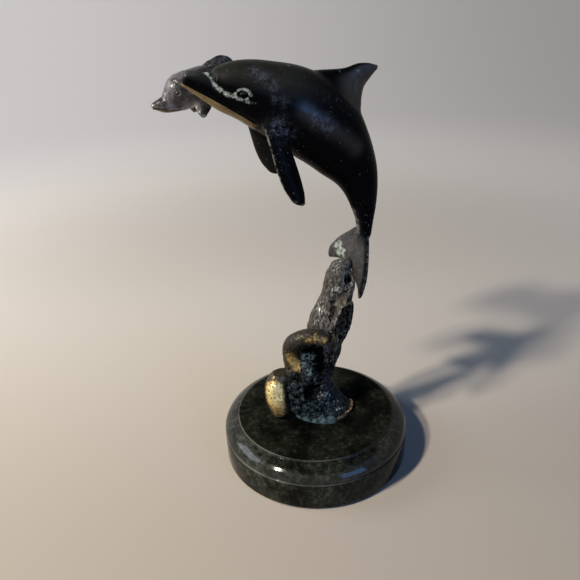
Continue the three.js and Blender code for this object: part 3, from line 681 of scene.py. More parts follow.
column_rough += (0.2 + 0.4 * column_low) * (pitted(column_drawn, 2.1, 1.7) - 0.55)
column_rim = fades(near_line(column_points, np.array(on_marble(FOOT_RIM))[:, :3]), 1.8)
column_free = rises(column_height, 0, 2.5) * (1 - 0.85 * crest_near) * (1 - 0.8 * column_rim)
push(column_skin, column_rough * column_free)
column_points = points_of(column_skin)
cavity_gap = np.linalg.norm(column_points - on_marble([SEAT_CAVITY])[0], axis=1)
cavity_ear = 0.9 * fades(cavity_gap - 3.4, 0.9) * (column_points[:, 0] > SEAT_CAVITY[0])
push(column_skin, cavity_ear - 2.2 * fades(cavity_gap, 2.3, 4))
column_ridges = raised_edges(column_skin)
column_normals = normals_of(column_skin)
# Tan on the crest's top facet, partly painted light: it is laid only where the facet faces up towards the
# lamps.
column_lit_top = 1.3 * near_points(column_points, on_marble(CREST_LIT_TOP), 2.8)
column_lit_top = column_lit_top * np.clip(4 * column_normals @ CREST_TOP_FACE - 2.2, 0, 1)
# Painted shade on the crest's right facet, the side that faces away from the lamps.
crest_right_shade = np.clip(3 * column_normals @ CREST_SHADED_FACE - 1.4, 0, 1) * (column_points[:, 0] > 8)
crest_right_shade = crest_right_shade * (column_height < 68) * (column_height > 44)
# Painted shade on the column between about 20 and 52 mm up, deepest on its front and right.
column_fade = np.clip((52 - column_height) / 22 + 0.35 * roughness_of(column_points, 5, 2, 17.0), 0, 1)
column_front = np.clip((column_points[:, 0] - 4 - column_points[:, 1]) / 8, 0.35, 1)
column_dark = 0.9 * column_fade * column_front * rises(column_height, 18, 26)
column_froth = near_points(column_points, on_marble(COLUMN_SPECKS), 2.6)
column_edge = fades(near_line(column_points, on_marble(CREST_RIDGE)), 0.9)
column_worn = near_points(column_points, on_marble(COLUMN_GLINTS), 3.4)
column_relief = column_ridges * (1 - 0.5 * crest_near)
set_masks(
    column_skin,
    ridge=column_relief * 10,
    hollow=-column_relief * (4.5 + 3 * column_low),
    rubbed=np.maximum.reduce([0.2 * (1 - column_low), column_worn, 0.8 * column_edge]),
    blue=column_low,
    pale=np.maximum(0.35 * column_low, near_points(column_points, on_marble(COLUMN_PALE), 4.5)),
    # Painted shade on the crest's right facet, on the column below the crest and in the seat's cavity.
    dark=np.maximum.reduce([column_dark, crest_right_shade, fades(cavity_gap, 2.8, 4)]),
    bronze=0.35 * crest_near * (column_height > 44),
    tan=column_lit_top,
    chalk=np.maximum(near_points(column_points, on_marble(COLUMN_RESIDUE), 2.4), 1.2 * column_froth),
    gilt=0.5 * fades(near_line(column_points, on_marble(GILT_RIM)), 1.0),
)
wave_column = show_skin("wave_column.visual", column_skin, wave_cast_finish)
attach(wave_column, "root")
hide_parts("wave_column")


# Front wave: the breaking wave before the column, its face frothed with beads and its lip a smooth ribbon
# that curls over from the left and ends in a gilt crest. It is brazed to the column's foot.
FRONT_FACE = [
    (-0.6, -4.4, 0, 10.6, 8.6),
    (-0.8, -4.2, 8, 9.2, 8),
    (-1.4, -3.8, 20, 8, 6.8),
    (-2, -2.6, 33, 8, 6),
    (-2.4, -2, 43, 8.6, 5.8),
]
FRONT_LIP = [
    (-11.2, -4, 27, 3.4, 3.4),
    (-12.2, -5, 36.5, 3.9, 3.9),
    (-11.3, -6.2, 45, 4.3, 4.1),
    (-5.8, -7.4, 49.6, 4.4, 4),
    (0.8, -8, 50.2, 4.2, 4),
    (4.6, -8, 48, 3.6, 3.4),
]
FRONT_GILT = [
    [(-3, -11.8, 50.6), (1.5, -11.2, 51.2), (5.2, -9.6, 49)],
    [(-13.6, -9.4, 43.6), (-12, -9.3, 39.5), (-9.8, -8, 35), (-8.2, -6.9, 31)],
]
FRONT_BOWL = (-1.6, -11.4, 18)
FROTH_BEADS = 34
FROTH_KNOBS = [
    (-11.7, -6.4, 28.7, 3.4), (-10.6, -6.6, 20.5, 2.4), (-12.4, -5.4, 17.6, 2.8),
    (-9.6, -7, 16.4, 2.6), (-11.6, -6.2, 12.8, 3.3), (-9, -8, 11.4, 2.6),
    (-12.4, -5.6, 8.4, 3.2), (-10, -7.4, 6.2, 3.4), (-5.8, -9.6, 13.8, 2.4),
    (-6, -9, 18.6, 1.8), (-3, -9.2, 25.8, 1.7), (0.2, -9.2, 25.6, 1.5), (-2.4, -9, 28.4, 1.3),
]
FRONT_PALE = [
    (-6.2, -7.4, 38.7), (-1.6, -8, 38.8), (-5.4, -8, 33.5),
    (-2.8, -9, 30), (-9.5, -8.6, 1), (-5.3, -11.9, 1.2),
]
FRONT_SPECKS = [(4.2, -9.3, 16.3), (6.8, -8, 9.4), (5.5, -8, 13)]
FRONT_SHADE = [(2.1, -7, 41.7), (3.2, -7, 36), (2.9, -7.6, 31)]
FRONT_ROLL = [(-7.6, -7, 44.2, 1.2, 1.2), (-3.5, -8, 44.9, 1.3, 1.3), (1.2, -7.6, 44.6, 1.1, 1.1)]

front_wax = wax_of(
    (spine_sections(on_marble(FRONT_FACE), ACROSS, level=True), 0, 4),
    (spine_sections(on_marble(FRONT_LIP), TO_LEFT_SIDE), 2, 2),
    (spine_sections(on_marble(FRONT_ROLL), TO_LEFT_SIDE), 1, 1),
)
for knob_x, knob_y, knob_height, knob_radius in FROTH_KNOBS:
    knob_place = Matrix.Translation((knob_x, knob_y, knob_height + BASE_TOP))
    bmesh.ops.create_icosphere(front_wax, subdivisions=3, radius=knob_radius, matrix=knob_place)
froth = random.Random(41)
for _ in range(FROTH_BEADS):
    bead_turn = math.radians(froth.uniform(-80, -20))
    bead_height = froth.uniform(7, 25)
    bead_row = np.array([
        np.interp(bead_height, [r[2] for r in FRONT_FACE], [r[k] for r in FRONT_FACE]) for k in (0, 1, 3, 4)
    ])
    bead_place = (
        bead_row[0] + bead_row[2] * math.cos(bead_turn),
        bead_row[1] + bead_row[3] * math.sin(bead_turn),
        bead_height + BASE_TOP,
    )
    bmesh.ops.create_icosphere(
        front_wax, subdivisions=2, radius=froth.uniform(0.7, 1.15), matrix=Matrix.Translation(bead_place)
    )
front_skin = fuse(front_wax, voxel=0.4, passes=3)
front_points = points_of(front_skin)
front_height = front_points[:, 2] - BASE_TOP
front_lip = fades(near_line(front_points, np.array(on_marble(FRONT_LIP))[:, :3]), 5.0, 6)
front_bowl = np.linalg.norm(front_points - on_marble([FRONT_BOWL])[0], axis=1)
front_rough = 0.4 * roughness_of(front_points, 4.5, 3, 8.3) + 0.35 * roughness_of(front_points, 1.5, 3, 2.6)
front_rough += 0.4 * (pitted(front_points, 1.7, 5.1) - 0.55)
front_rough -= 1.6 * fades(front_bowl, 4.4, 4) * (1 + 0.6 * roughness_of(front_points, 3, 2, 15.0))
push(front_skin, front_rough * (1 - 0.8 * front_lip) * rises(front_height, 0, 2))
front_ridges = raised_edges(front_skin)
front_froth = near_points(front_points, on_marble(FRONT_SPECKS), 3.0)
front_pale = near_points(front_points, on_marble(FRONT_PALE), 4.5)
# Painted shade: under the lip, under the lip's right end and in the bowl.
front_shade_patch = near_points(front_points, on_marble(FRONT_SHADE), 4.0)
shade_under_lip = fades(front_height - 44.5, 4) * (front_points[:, 1] < -2)
front_dark = np.maximum.reduce([1.1 * front_shade_patch, 1.2 * shade_under_lip, 1.2 * fades(front_bowl, 5.4, 4)])
front_leaf = [fades(near_line(front_points, on_marble(line)), 2.9) for line in FRONT_GILT]
front_leaf[0] *= 0.72
front_leaf[1] *= np.clip((46 - front_height) / 7, 0.35, 1.4)
set_masks(
    front_skin,
    ridge=front_ridges * 10,
    hollow=-front_ridges * 8,
    rubbed=0.04 * front_lip + 0.3 * front_froth,
    blue=1 - front_lip,
    pale=(1 - front_lip) * np.maximum(0.45, front_pale),
    dark=(1 - front_lip) * front_dark,
    bronze=front_lip,
    tan=0.05 * front_lip,
    chalk=1.2 * front_froth,
    gilt=np.max(front_leaf, axis=0) * front_lip,
)
front_wave = show_skin("front_wave.visual", front_skin, wave_cast_finish)
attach(front_wave, "root")
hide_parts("front_wave")


# Small wave: a curl of brass that folds over at the left of the front wave and stands on the marble.
# Its front is rubbed back to bright pitted gilt, and its top keeps the brown patina.
SMALL_WAVE = [
    (-8.5, -1, 12, 4.4, 4.4),
    (-12.6, -1.2, 18, 4.4, 4.6),
    (-16.6, -2, 22.6, 4.8, 5),
    (-20, -4, 21, 5.2, 5.6),
    (-20.6, -6, 13, 5.6, 6),
    (-18.4, -6.2, 4.8, 5.6, 5.6),
]
SMALL_TOP = ((-20.4, -6.2, 26.2), (0.05, -0.3, 0.95), 7)
SMALL_GILT = [(-21.6, -9.6, 19.6), (-21.4, -11.2, 14), (-20.4, -11.4, 9), (-19.6, -10.6, 4)]

small_wax = wax_of((spine_sections(on_marble(SMALL_WAVE), TO_LEFT_SIDE), 3.4, 3.4))
small_skin = fuse(small_wax, voxel=0.4, passes=4)
small_points = points_of(small_skin)
small_rough = 0.45 * roughness_of(small_points, 7, 2, 12.7) + 0.1 * roughness_of(small_points, 1.8, 3, 9.1)
push(small_skin, small_rough)
file_flat(small_skin, [(on_marble(SMALL_TOP[:1])[0], *SMALL_TOP[1:])])
small_points = points_of(small_skin)
small_gilt_and_highlight = fades(near_line(small_points, on_marble(SMALL_GILT)), 5.0, 4)
# Paler gilt towards the top: partly a painted highlight where the lamps' reflection falls.
small_gilt_and_highlight = small_gilt_and_highlight * np.interp(small_points[:, 2] - BASE_TOP, (3, 9, 16), (0.45, 0.8, 1.5))
small_ridges = raised_edges(small_skin)
small_root = rises(small_points[:, 0], -16, -13)
set_masks(
    small_skin,
    ridge=small_ridges * 12,
    hollow=-small_ridges * 7,
    rubbed=0.05,
    blue=0.8 * small_root,
    pale=0.3 * small_root,
    dark=0,
    bronze=1,
    tan=0.1,
    chalk=0,
    gilt=small_gilt_and_highlight,
)
small_wave = show_skin("small_wave.visual", small_skin, wave_cast_finish)
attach(small_wave, "root")
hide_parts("small_wave")


# Dowels: bright brass bars, brazed in between the flukes and the column, and between the two flanks.
# They keep the plain shapes of their CAD nodes.
DOWEL_COLOUR = (0.42, 0.31, 0.14, 1)
DOWEL_DULL_COLOUR = (0.16, 0.11, 0.05, 1)

dowels = ("tail_dowel", "calf_dowel")
dress(dowels, "drawn_brass", DOWEL_COLOUR, DOWEL_DULL_COLOUR, patch=2.0, satin=(0.22, 0.45))


# Mother: lost-wax castings under a waxed black patina, body and dorsal fin in one, with two flippers and
# the flukes brazed on. The lower jaw is rubbed back to brass, and verdigris sits in the melon's crease.
MOTHER_PLACE = Matrix.Translation((26.4, 4.5, 124.4)) @ Matrix.Rotation(math.radians(200), 4, "Z")
MOTHER_SPINE = [
    (0, 0, 3.5, 2.9),
    (0.1, 7.3, 4.6, 3.5),
    (0.6, 14.5, 6.3, 4.6),
    (2.5, 24.1, 8.6, 6.8),
    (6, 32.8, 11.2, 9.2),
    (12.4, 42.3, 14.5, 12),
    (21.8, 53.5, 17.4, 14),
    (34.7, 62.4, 16.7, 14.4),
    (48.1, 68.6, 13.6, 12.8),
    (57.2, 72.3, 10.9, 10.5),
    (63.2, 74.6, 8, 8.2),
    (67.2, 75.9, 4.9, 5.5),
]
MOTHER_BEAK = [
    (49, 60.8, 6.8, 8.6),
    (57, 65.7, 6.3, 7.4),
    (63.5, 69.4, 6.4, 6.4),
    (69.6, 73.1, 5.7, 4.7),
    (74.4, 75.3, 4.5, 3.7),
    (78.9, 77.1, 3.3, 2.8),
]
MOTHER_DORSAL_FIN = [
    (37, 0, 76, 4.1, 0, 54, 21),
    (24, 0, 76.4, 3.3, 0, 59.6, 13),
    (11.6, 0, 76.3, 2.9, 0, 63.7, 7.2),
    (4.7, 0, 77.8, 1.7, 0, 67.9, 4.4),
    (-0.6, 0, 77.6, -1.2, 0, 71.3, 2.8),
    (-3.7, 0, 76.7, -3.7, 0, 73.9, 2),
]
MOTHER_FIN_ROOT = [(30, 0, 77), (20, 0, 73), (10, 0, 66), (4, 0, 58)]
MOTHER_FLIPPER = [
    (52.2, 8.2, 63.2, 39, 6.2, 54.9, 7),
    (51.4, 11.3, 56.5, 40.8, 10.5, 48.2, 5.6),
    (50.2, 13.8, 49.4, 39.6, 13.5, 42.8, 4.8),
    (48.8, 15.8, 41.6, 37.9, 15.8, 35.8, 4.4),
    (46.6, 17.4, 34.2, 37, 17.4, 30.2, 4.1),
    (43.6, 18.8, 28.6, 37.2, 18.8, 26.6, 3.7),
]
MOTHER_LEFT_SPLAY = -5
MOTHER_RIGHT_SPLAY = 11
MOTHER_RIGHT_SWEEP = 9
MOTHER_FLUKE_HUB = [(0, 0, 3.4, 2.8), (-6, 0, 3, 4), (-14, 0, 2.2, 4)]
MOTHER_FLUKE = [
    (3, 0, 0, -18.5, 0, 0, 4.8),
    (-0.4, 5, 0, -19.5, 4.6, 0, 4.2),
    (-7, 11, 0, -21.4, 10, 0, 3.5),
    (-14.4, 16.2, 0, -23, 14.8, 0, 2.9),
    (-21.8, 18.8, 0, -25.8, 18, 0, 2.2),
]
MOTHER_FAR_FLUKE = [
    (11, 0, 0, -18.5, 0, 0, 4.8),
    (4, 4.4, 0, -19.8, 4.6, 0, 4.4),
    (-5, 10.8, 0, -22.6, 10, 0, 3.8),
    (-13.4, 16.8, 0, -25.4, 14.2, 0, 3.3),
    (-20.4, 20, 0, -27.2, 16.8, 0, 2.8),
]
MOTHER_TAIL = (
    Matrix.Rotation(math.radians(-14), 4, "X")
    @ Matrix.Rotation(math.radians(-107), 4, "Y")
    @ Matrix.Rotation(math.radians(3), 4, "Z")
)
MOTHER_TAIL_JOINT = Vector((-1.2, 0, 0))
MOTHER_LOBE = Vector((-16, 0, 2))
FLUKES_LIT_FACE = np.array((0.956, 0.071, 0.284))
MOTHER_MOUTH = [(81.6, 76.4), (76, 72.9), (70.8, 69.8), (64.6, 65.8), (59, 62.1), (53.8, 58.6)]
MOTHER_CREASE = [
    (72, 80.4), (70.9, 78.7), (69.4, 76.2), (68.4, 73.9), (66.4, 72.2), (64.1, 70.6),
    (61.2, 69), (57.8, 68), (54.8, 67.4),
]
MOTHER_EYE = (59, 70.5)
MOTHER_SHEEN = [
    (35.2, 14.3, 62.5), (29.6, 14.2, 58.4), (24.2, 14.1, 55), (17, 13.1, 50.4), (11, 11.6, 45),
]
# Pale bluish scuffs; the third and fifth, on the flank's streak and on the dorsal fin, are painted sheen.
MOTHER_SCUFFS_AND_SHEEN = [
    ([(53.2, 8.5, 78.3), (50.5, 9.8, 76.4), (47.6, 11.5, 73.8)], 2.8, 0.8),
    ([(46.8, 13, 68.3), (43.7, 13.5, 66.9)], 2.0, 0.6),
    ([(31, 14.2, 59.6), (27.6, 14.1, 57.2), (24.6, 14, 55.4)], 3.0, 0.9),
    ([(46, 12.4, 57.5), (42.5, 11, 54)], 3.6, 0.9),
    ([(6.1, 2.4, 70.5), (8, 2.8, 68.5)], 3.0, 0.7),
]
MOTHER_SPECKS = [
    (45, 12, 56), (40.4, 9.9, 52), (36.8, 8.2, 47.6), (47, 15, 45), (24, 13, 64),
    (18.4, 11.3, 63.7), (15.4, 10.8, 62.5),
]
MOTHER_BLOOM = [(6.2, -18, -11.2), (6, -14, -10.6), (6.2, -10.6, -12.6), (6.6, -14.6, -14)]
MOTHER_WORN_LIT_TIP = [(81.4, 0.8, 78.4), (81.2, 1, 79.8), (79.6, 1, 80.4)]
MOTHER_NOSE = [(81, 0.5, 80), (77, 1, 79.5)]
MOTHER_FIN_SHEEN = [(7, 3.4, 71), (9.8, 4, 68.4), (4, 2.4, 73), (-1, 1, 75.5)]
MOTHER_STOCK = [(6.3, 0.6, 13), (5, 0.8, 8), (3.6, 0, 2)]
MIRROR = Matrix.Diagonal((1, -1, 1, 1))
PATINA_BLACK = (0.0022, 0.0025, 0.0036, 1)
PATINA_LIT_OLIVE = (0.026, 0.027, 0.023, 1)
PATINA_GREY = (0.064, 0.063, 0.066, 1)
JAW_BRASS = (0.30, 0.245, 0.125, 1)
JAW_TARNISH = (0.14, 0.092, 0.040, 1)
WORN_SILVER = (0.34, 0.33, 0.31, 1)
VERDIGRIS = (0.37, 0.42, 0.385, 1)
PALE_SCUFF_AND_SHEEN = (0.11, 0.125, 0.15, 1)


def fin_sections(rows):
    """Sections of a fin from rows (leading edge, trailing edge, thickness), root to tip."""
    run = run_smooth(rows)
    paths = np.gradient(run[:, :3], axis=0) + np.gradient(run[:, 3:6], axis=0)
    sections = []
    for row, path in zip(run, paths):
        leading, trailing = Vector(row[:3]), Vector(row[3:6])
        across = (leading - trailing) / 2
        up = Vector(path).cross(across).normalized() * (row[6] / 2)
        sections.append(((leading + trailing) / 2, across, up))
    return sections


def moved(sections, place):
    turn = place.to_3x3()
    return [(place @ centre, turn @ across, turn @ up) for centre, across, up in sections]


def dolphin_spine(rows):
    return spine_sections([(x, 0, z, across, up) for x, z, up, across in rows], TO_LEFT_SIDE)


def flipper_swing(rows, splay, sweep=0):
    """The turn of a flipper about its root, where it leaves the flank."""
    root = Vector([(rows[1][k] + rows[1][k + 3]) / 2 for k in range(3)])
    turn = Matrix.Rotation(math.radians(splay), 4, "X") @ Matrix.Rotation(math.radians(sweep), 4, "Y")
    return Matrix.Translation(root) @ turn @ Matrix.Translation(-root)


def line_height(line, x):
    """Height at x of a line of points that runs from the nose back."""
    back = line[::-1]
    return np.interp(x, [p[0] for p in back], [p[1] for p in back])


def carve_face(mesh, mouth, crease, eye, eye_radius, cut):
    """Cuts the mouth and the melon's crease, and raises each eye in its lids."""
    points = points_of(mesh)
    flat = points[:, [0, 2]]
    from_eye = np.linalg.norm((flat - np.array(eye)) / np.array((1.35, 0.95)), axis=1) / eye_radius
    on_head = points[:, 0] > mouth[-1][0] - 3
    ball = np.sqrt(np.clip(1 - from_eye**2, 0, None)) * 0.45 * eye_radius
    lids = 0.28 * fades(from_eye - 1.75, 0.35) - 0.42 * fades(from_eye - 1.15, 0.22)
    mouth_cut = fades(near_line(flat, mouth), 1.1 * cut)
    crease_cut = 0.8 * fades(near_line(flat, crease), 1.6 * cut) if crease else 0
    push(mesh, (ball + lids * eye_radius * 0.8 - (mouth_cut + crease_cut) * cut) * on_head)


def cut_castings(mesh, cuts):
    """Parts a skin at cuts (point, outward direction, point in the part), and closes each part.

    The first casting that it gives is what is left; the others follow in the cuts' order."""
    whole = bmesh.new()
    whole.from_mesh(mesh)
    part_of = whole.faces.layers.int.new("casting")

    def beyond(point, direction, inside):
        """The faces that join the face nearest to `inside` without coming back across the cut."""
        first = min(whole.faces, key=lambda f: (f.calc_center_median() - inside).length_squared)
        found, rim = {first}, [first]
        while rim:
            for edge in rim.pop().edges:
                for face in edge.link_faces:
                    if face not in found and (face.calc_center_median() - point).dot(direction) > 0:
                        found.add(face)
                        rim.append(face)
        return found

    for number, (point, direction, inside) in enumerate(cuts, 1):
        near = beyond(point - direction * 0.8, direction, inside)
        geometry = list(near | {e for f in near for e in f.edges} | {v for f in near for v in f.verts})
        bmesh.ops.bisect_plane(whole, geom=geometry, plane_co=point, plane_no=direction, dist=1e-5)
        whole.faces.ensure_lookup_table()
        for face in beyond(point, direction, inside):
            face[part_of] = number
    castings = []
    for number in range(len(cuts) + 1):
        casting = whole.copy()
        kept = casting.faces.layers.int["casting"]
        others = [f for f in casting.faces if f[kept] != number]
        bmesh.ops.delete(casting, geom=others, context="FACES")
        for face in casting.faces:
            face.smooth = True
        rims = [e for e in casting.edges if e.is_boundary]
        bmesh.ops.holes_fill(casting, edges=rims, sides=0)
        for edge in rims:
            edge.smooth = False
        bmesh.ops.recalc_face_normals(casting, faces=casting.faces)
        castings.append(casting)
    whole.free()
    return castings


def flipper_cut(rows, swing, mirror):
    """Where a flipper parts from the flank, just outside its root."""
    def middle(row):
        return mirror @ swing @ Vector([(row[k] + row[k + 3]) / 2 for k in range(3)])
    root, after, tip = middle(rows[1]), middle(rows[2]), middle(rows[-1])
    return root.lerp(after, 0.45), (after - root).normalized(), tip


def tail_cut(tail, joint, lobe):
    """Where the flukes part from the tail stock."""
    return tail @ joint, (tail.to_3x3() @ Vector((-1, 0, 0))).normalized(), tail @ lobe


def show_castings(castings, place, finish, slots):
    """Shows a dolphin's castings, one for each node of the slots."""
    for casting, (node, slot) in zip(castings, slots.items()):
        bmesh.ops.transform(casting, matrix=place, verts=casting.verts)
        piece = show(node + ".visual", casting, finish)
        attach(piece, "root")
        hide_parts(node)


mother_left = flipper_swing(MOTHER_FLIPPER, MOTHER_LEFT_SPLAY)
mother_right = flipper_swing(MOTHER_FLIPPER, MOTHER_RIGHT_SPLAY, MOTHER_RIGHT_SWEEP)
mother_wax = wax_of(
    (dolphin_spine(MOTHER_SPINE), 3, 2),
    (dolphin_spine(MOTHER_BEAK), 2, 1.6),
    (fin_sections(MOTHER_DORSAL_FIN), 0, 1.4),
    (moved(fin_sections(MOTHER_FLIPPER), mother_left), 0, 2.2),
    (moved(fin_sections(MOTHER_FLIPPER), MIRROR @ mother_right), 0, 2.2),
    (moved(dolphin_spine(MOTHER_FLUKE_HUB), MOTHER_TAIL), 0, 2),
    (moved(fin_sections(MOTHER_FLUKE), MOTHER_TAIL), 0, 1.4),
    (moved(fin_sections(MOTHER_FAR_FLUKE), MOTHER_TAIL @ MIRROR), 0, 1.6),
)
mother_skin = fuse(mother_wax, voxel=0.4, passes=6)
fill_corners(mother_skin, 200, rises(points_of(mother_skin)[:, 0], 56, 52))
fill_corners(mother_skin, 900, rises(near_line(points_of(mother_skin), MOTHER_FIN_ROOT), 13, 8))
carve_face(mother_skin, MOTHER_MOUTH, MOTHER_CREASE, MOTHER_EYE, eye_radius=1.05, cut=0.5)

mother_points = points_of(mother_skin)
mother_x, mother_y, mother_z = mother_points.T
mother_flat = mother_points[:, [0, 2]]
mother_normals = normals_of(mother_skin)
mother_fray = roughness_of(mother_points, 1.7, 3, 4.2)
mother_crumbs = roughness_of(mother_points, 4.2, 2, 7.7)
mother_crust = fades(near_line(mother_flat, MOTHER_CREASE), 0.85)
mother_crust = mother_crust * np.clip(0.75 - mother_fray - 0.9 * mother_crumbs, 0, 1.1)
mother_from_eye = mother_flat - np.array(MOTHER_EYE)
mother_lids = fades(np.linalg.norm(mother_from_eye / np.array((2.7, 2.0)), axis=1) - 1, 0.3)
mother_lids = mother_lids * np.clip(0.75 - mother_fray, 0, 1)
mother_crust = np.maximum(mother_crust, mother_lids) * (mother_x > 50)
mother_bloom = 1.5 * near_points(mother_points, MOTHER_BLOOM, 2.6) - 0.35 - 0.8 * mother_fray
mother_stock = 1.1 * fades(near_line(mother_points, MOTHER_STOCK), 1.8)
# Pale silver at the beak's tip: worn metal, partly a painted highlight.
mother_worn_lit_tip = near_points(mother_points, MOTHER_WORN_LIT_TIP, 1.5)
mother_silver = [mother_left @ Vector(row[:3]) for row in MOTHER_FLIPPER[1:5]]
mother_silver = fades(near_line(mother_points, mother_silver), 0.9)
mother_rubbed = 6 * raised_edges(mother_skin, 5) * rises(near_line(mother_flat, MOTHER_MOUTH), 1.8, 2.8)
mother_wear_and_highlight = np.maximum.reduce([mother_rubbed, mother_worn_lit_tip, mother_silver, mother_stock])
mother_scuffs = [share * near_points(mother_points, *patch) for *patch, share in MOTHER_SCUFFS_AND_SHEEN]
mother_tail = rises(mother_z, 24, 6) * (mother_x < 30)
# Grey of thin patina on the flukes and tail stock, with painted light and shade: only on the face turned to
# the lamps, fainter towards the lower tip, and left black along the leading edge as painted shade.
mother_lead = [MOTHER_TAIL @ Vector(row[:3]) for row in MOTHER_FLUKE]
mother_flukes = np.clip(2.5 * mother_normals @ FLUKES_LIT_FACE, 0, 1) * rises(mother_z, 3, -5)
mother_grey_and_shade = np.maximum(mother_flukes * np.interp(mother_z, (-24, -10), (0.55, 1)), mother_stock)
mother_grey_and_shade = mother_grey_and_shade * rises(near_line(mother_points, mother_lead), 1.44, 2.64)
mother_up = rises(mother_normals[:, 2], -0.1, 0.5)
mother_streak = 0.5 * fades(near_line(mother_points, MOTHER_SHEEN), 4.5)
mother_fin = near_points(mother_points, MOTHER_FIN_SHEEN, 6.5)
mother_back = 0.22 * mother_up * rises(mother_x, 48, 36)
mother_back = mother_back * (1 - fades(near_line(mother_points, MOTHER_FIN_ROOT), 11, 4))
# Painted light: a lighter olive tone on the up-facing surfaces of the upper head and back. The next line
# lays the same tone lower down on the far side of the head.
mother_dusty = rises(mother_normals[:, 2], 0.05, 0.55) * rises(mother_z, 56, 64) * rises(mother_x, 22, 42)
mother_far = 0.8 * rises(mother_y, -9, -12) * rises(mother_z, 58, 54) * (mother_x > 30)
set_masks(
    mother_skin,
    edge=np.where(np.linalg.norm(mother_from_eye, axis=1) < 3, 0, mother_wear_and_highlight),
    jaw=rises(line_height(MOTHER_MOUTH, mother_x) - mother_z, 0, 0.5) * rises(mother_x, 50, 57),
    verdigris=np.maximum(mother_crust, np.clip(mother_bloom, 0, 1)),
    scuff=np.maximum.reduce([*mother_scuffs, 1.3 * mother_worn_lit_tip]),
    speck=np.maximum(near_points(mother_points, MOTHER_SPECKS, 4.5), 0.8 * mother_tail),
    grey=np.maximum(mother_grey_and_shade, 0.9 * near_points(mother_points, MOTHER_NOSE, 3.4) * (mother_z > 78)),
    sheen=np.maximum.reduce([mother_streak, mother_fin, mother_back, 0.1 * mother_up]),
    dusty=np.maximum(mother_dusty, mother_far),
)


def patina_finish(name, ground, dusty, grey, gloss, satin):
    """Waxed patina over brass: a matte tone, painted light on top and painted shade in hollows; grey,
    partly painted light and shade; pale scuffs, partly painted sheen; rubbed edges, partly painted
    highlight; brass and verdigris.
    """
    finish = Finish(name, IOR=1.5, Specular_IOR_Level=gloss)
    cloud = finish.cloud(14, detail=4.0, roughness=0.6)
    stain = finish.cloud(2.2, detail=6.0, roughness=0.7)
    dust = finish.cloud(0.7, detail=3.0, roughness=0.6)
    # The matte tone by mask: painted light on the mother's upper head and back, and painted shade in the
    # calf's hollows.
    dull = finish.times(finish.mask("dusty"), finish.levels(cloud, 0.3, 0.65, 0.65, 1.0))
    colour = finish.blend(dull, ground, dusty)
    thin = finish.times(finish.mask("grey"), finish.levels(stain, 0.25, 0.6, 0.6, 1.0))
    colour = finish.blend(thin, colour, grey)
    # Pale scuffs, partly painted sheen on the mother's flank streak and dorsal fin.
    scuffed = finish.times(
        finish.mask("scuff"), finish.levels(stain, 0.40, 0.64), finish.levels(dust, 0.36, 0.60, 0.3, 1.0)
    )
    colour = finish.blend(scuffed, colour, PALE_SCUFF_AND_SHEEN)
    dots = finish.levels(finish.grains(0.9), 0.10, 0.26, 1.0, 0.0)
    specks = finish.times(dots, finish.levels(stain, 0.46, 0.62), finish.mask("speck"))
    colour = finish.blend(specks, colour, VERDIGRIS)
    # Pale silver on rubbed edges and ridges: partly worn metal, partly painted highlight.
    wear_and_highlight = finish.times(finish.levels(finish.mask("edge"), 0.4, 1.0), finish.levels(stain, 0.42, 0.6), 0.75)
    colour = finish.blend(wear_and_highlight, colour, WORN_SILVER)
    rubbed = finish.levels(finish.mask("jaw"), 0.3, 0.7)
    stains = finish.times(finish.levels(cloud, 0.36, 0.64), finish.levels(stain, 0.34, 0.58, 0.4, 1.0))
    colour = finish.blend(rubbed, colour, finish.blend(stains, JAW_BRASS, JAW_TARNISH))
    crust = finish.times(finish.mask("verdigris"), finish.levels(dust, 0.34, 0.56, 0.45, 1.1))
    crust = finish.levels(crust, 0.15, 0.8)
    finish.paint(colour=finish.blend(crust, colour, VERDIGRIS))
    finish.paint(metallic=finish.maths("MAXIMUM", finish.times(rubbed, 0.5), wear_and_highlight))
    satin = finish.levels(stain, 0.3, 0.7, satin, satin + 0.09)
    satin = finish.maths("MAXIMUM", satin, finish.times(dull, 0.5))
    finish.paint(roughness=finish.maths("MAXIMUM", satin, finish.times(crust, 0.9)))
    finish.paint(gloss=finish.levels(finish.mask("sheen"), 0.0, 1.0, gloss, 0.75))
    finish.bump(stain, 0.05)
    finish.bump(dust, 0.02)
    finish.bump(crust, 0.08)
    return finish


black_finish = patina_finish("black_patina", PATINA_BLACK, PATINA_LIT_OLIVE, PATINA_GREY, 0.02, 0.21)
mother_castings = cut_castings(mother_skin, [
    flipper_cut(MOTHER_FLIPPER, mother_left, Matrix.Identity(4)),
    flipper_cut(MOTHER_FLIPPER, mother_right, MIRROR),
    tail_cut(MOTHER_TAIL, MOTHER_TAIL_JOINT, MOTHER_LOBE),
])
show_castings(mother_castings, MOTHER_PLACE, black_finish, {
    "mother_body": "black_patina",
    "mother_left_flipper": "black_patina",
    "mother_right_flipper": "black_patina",
    "mother_flukes": "grey_patina",
})


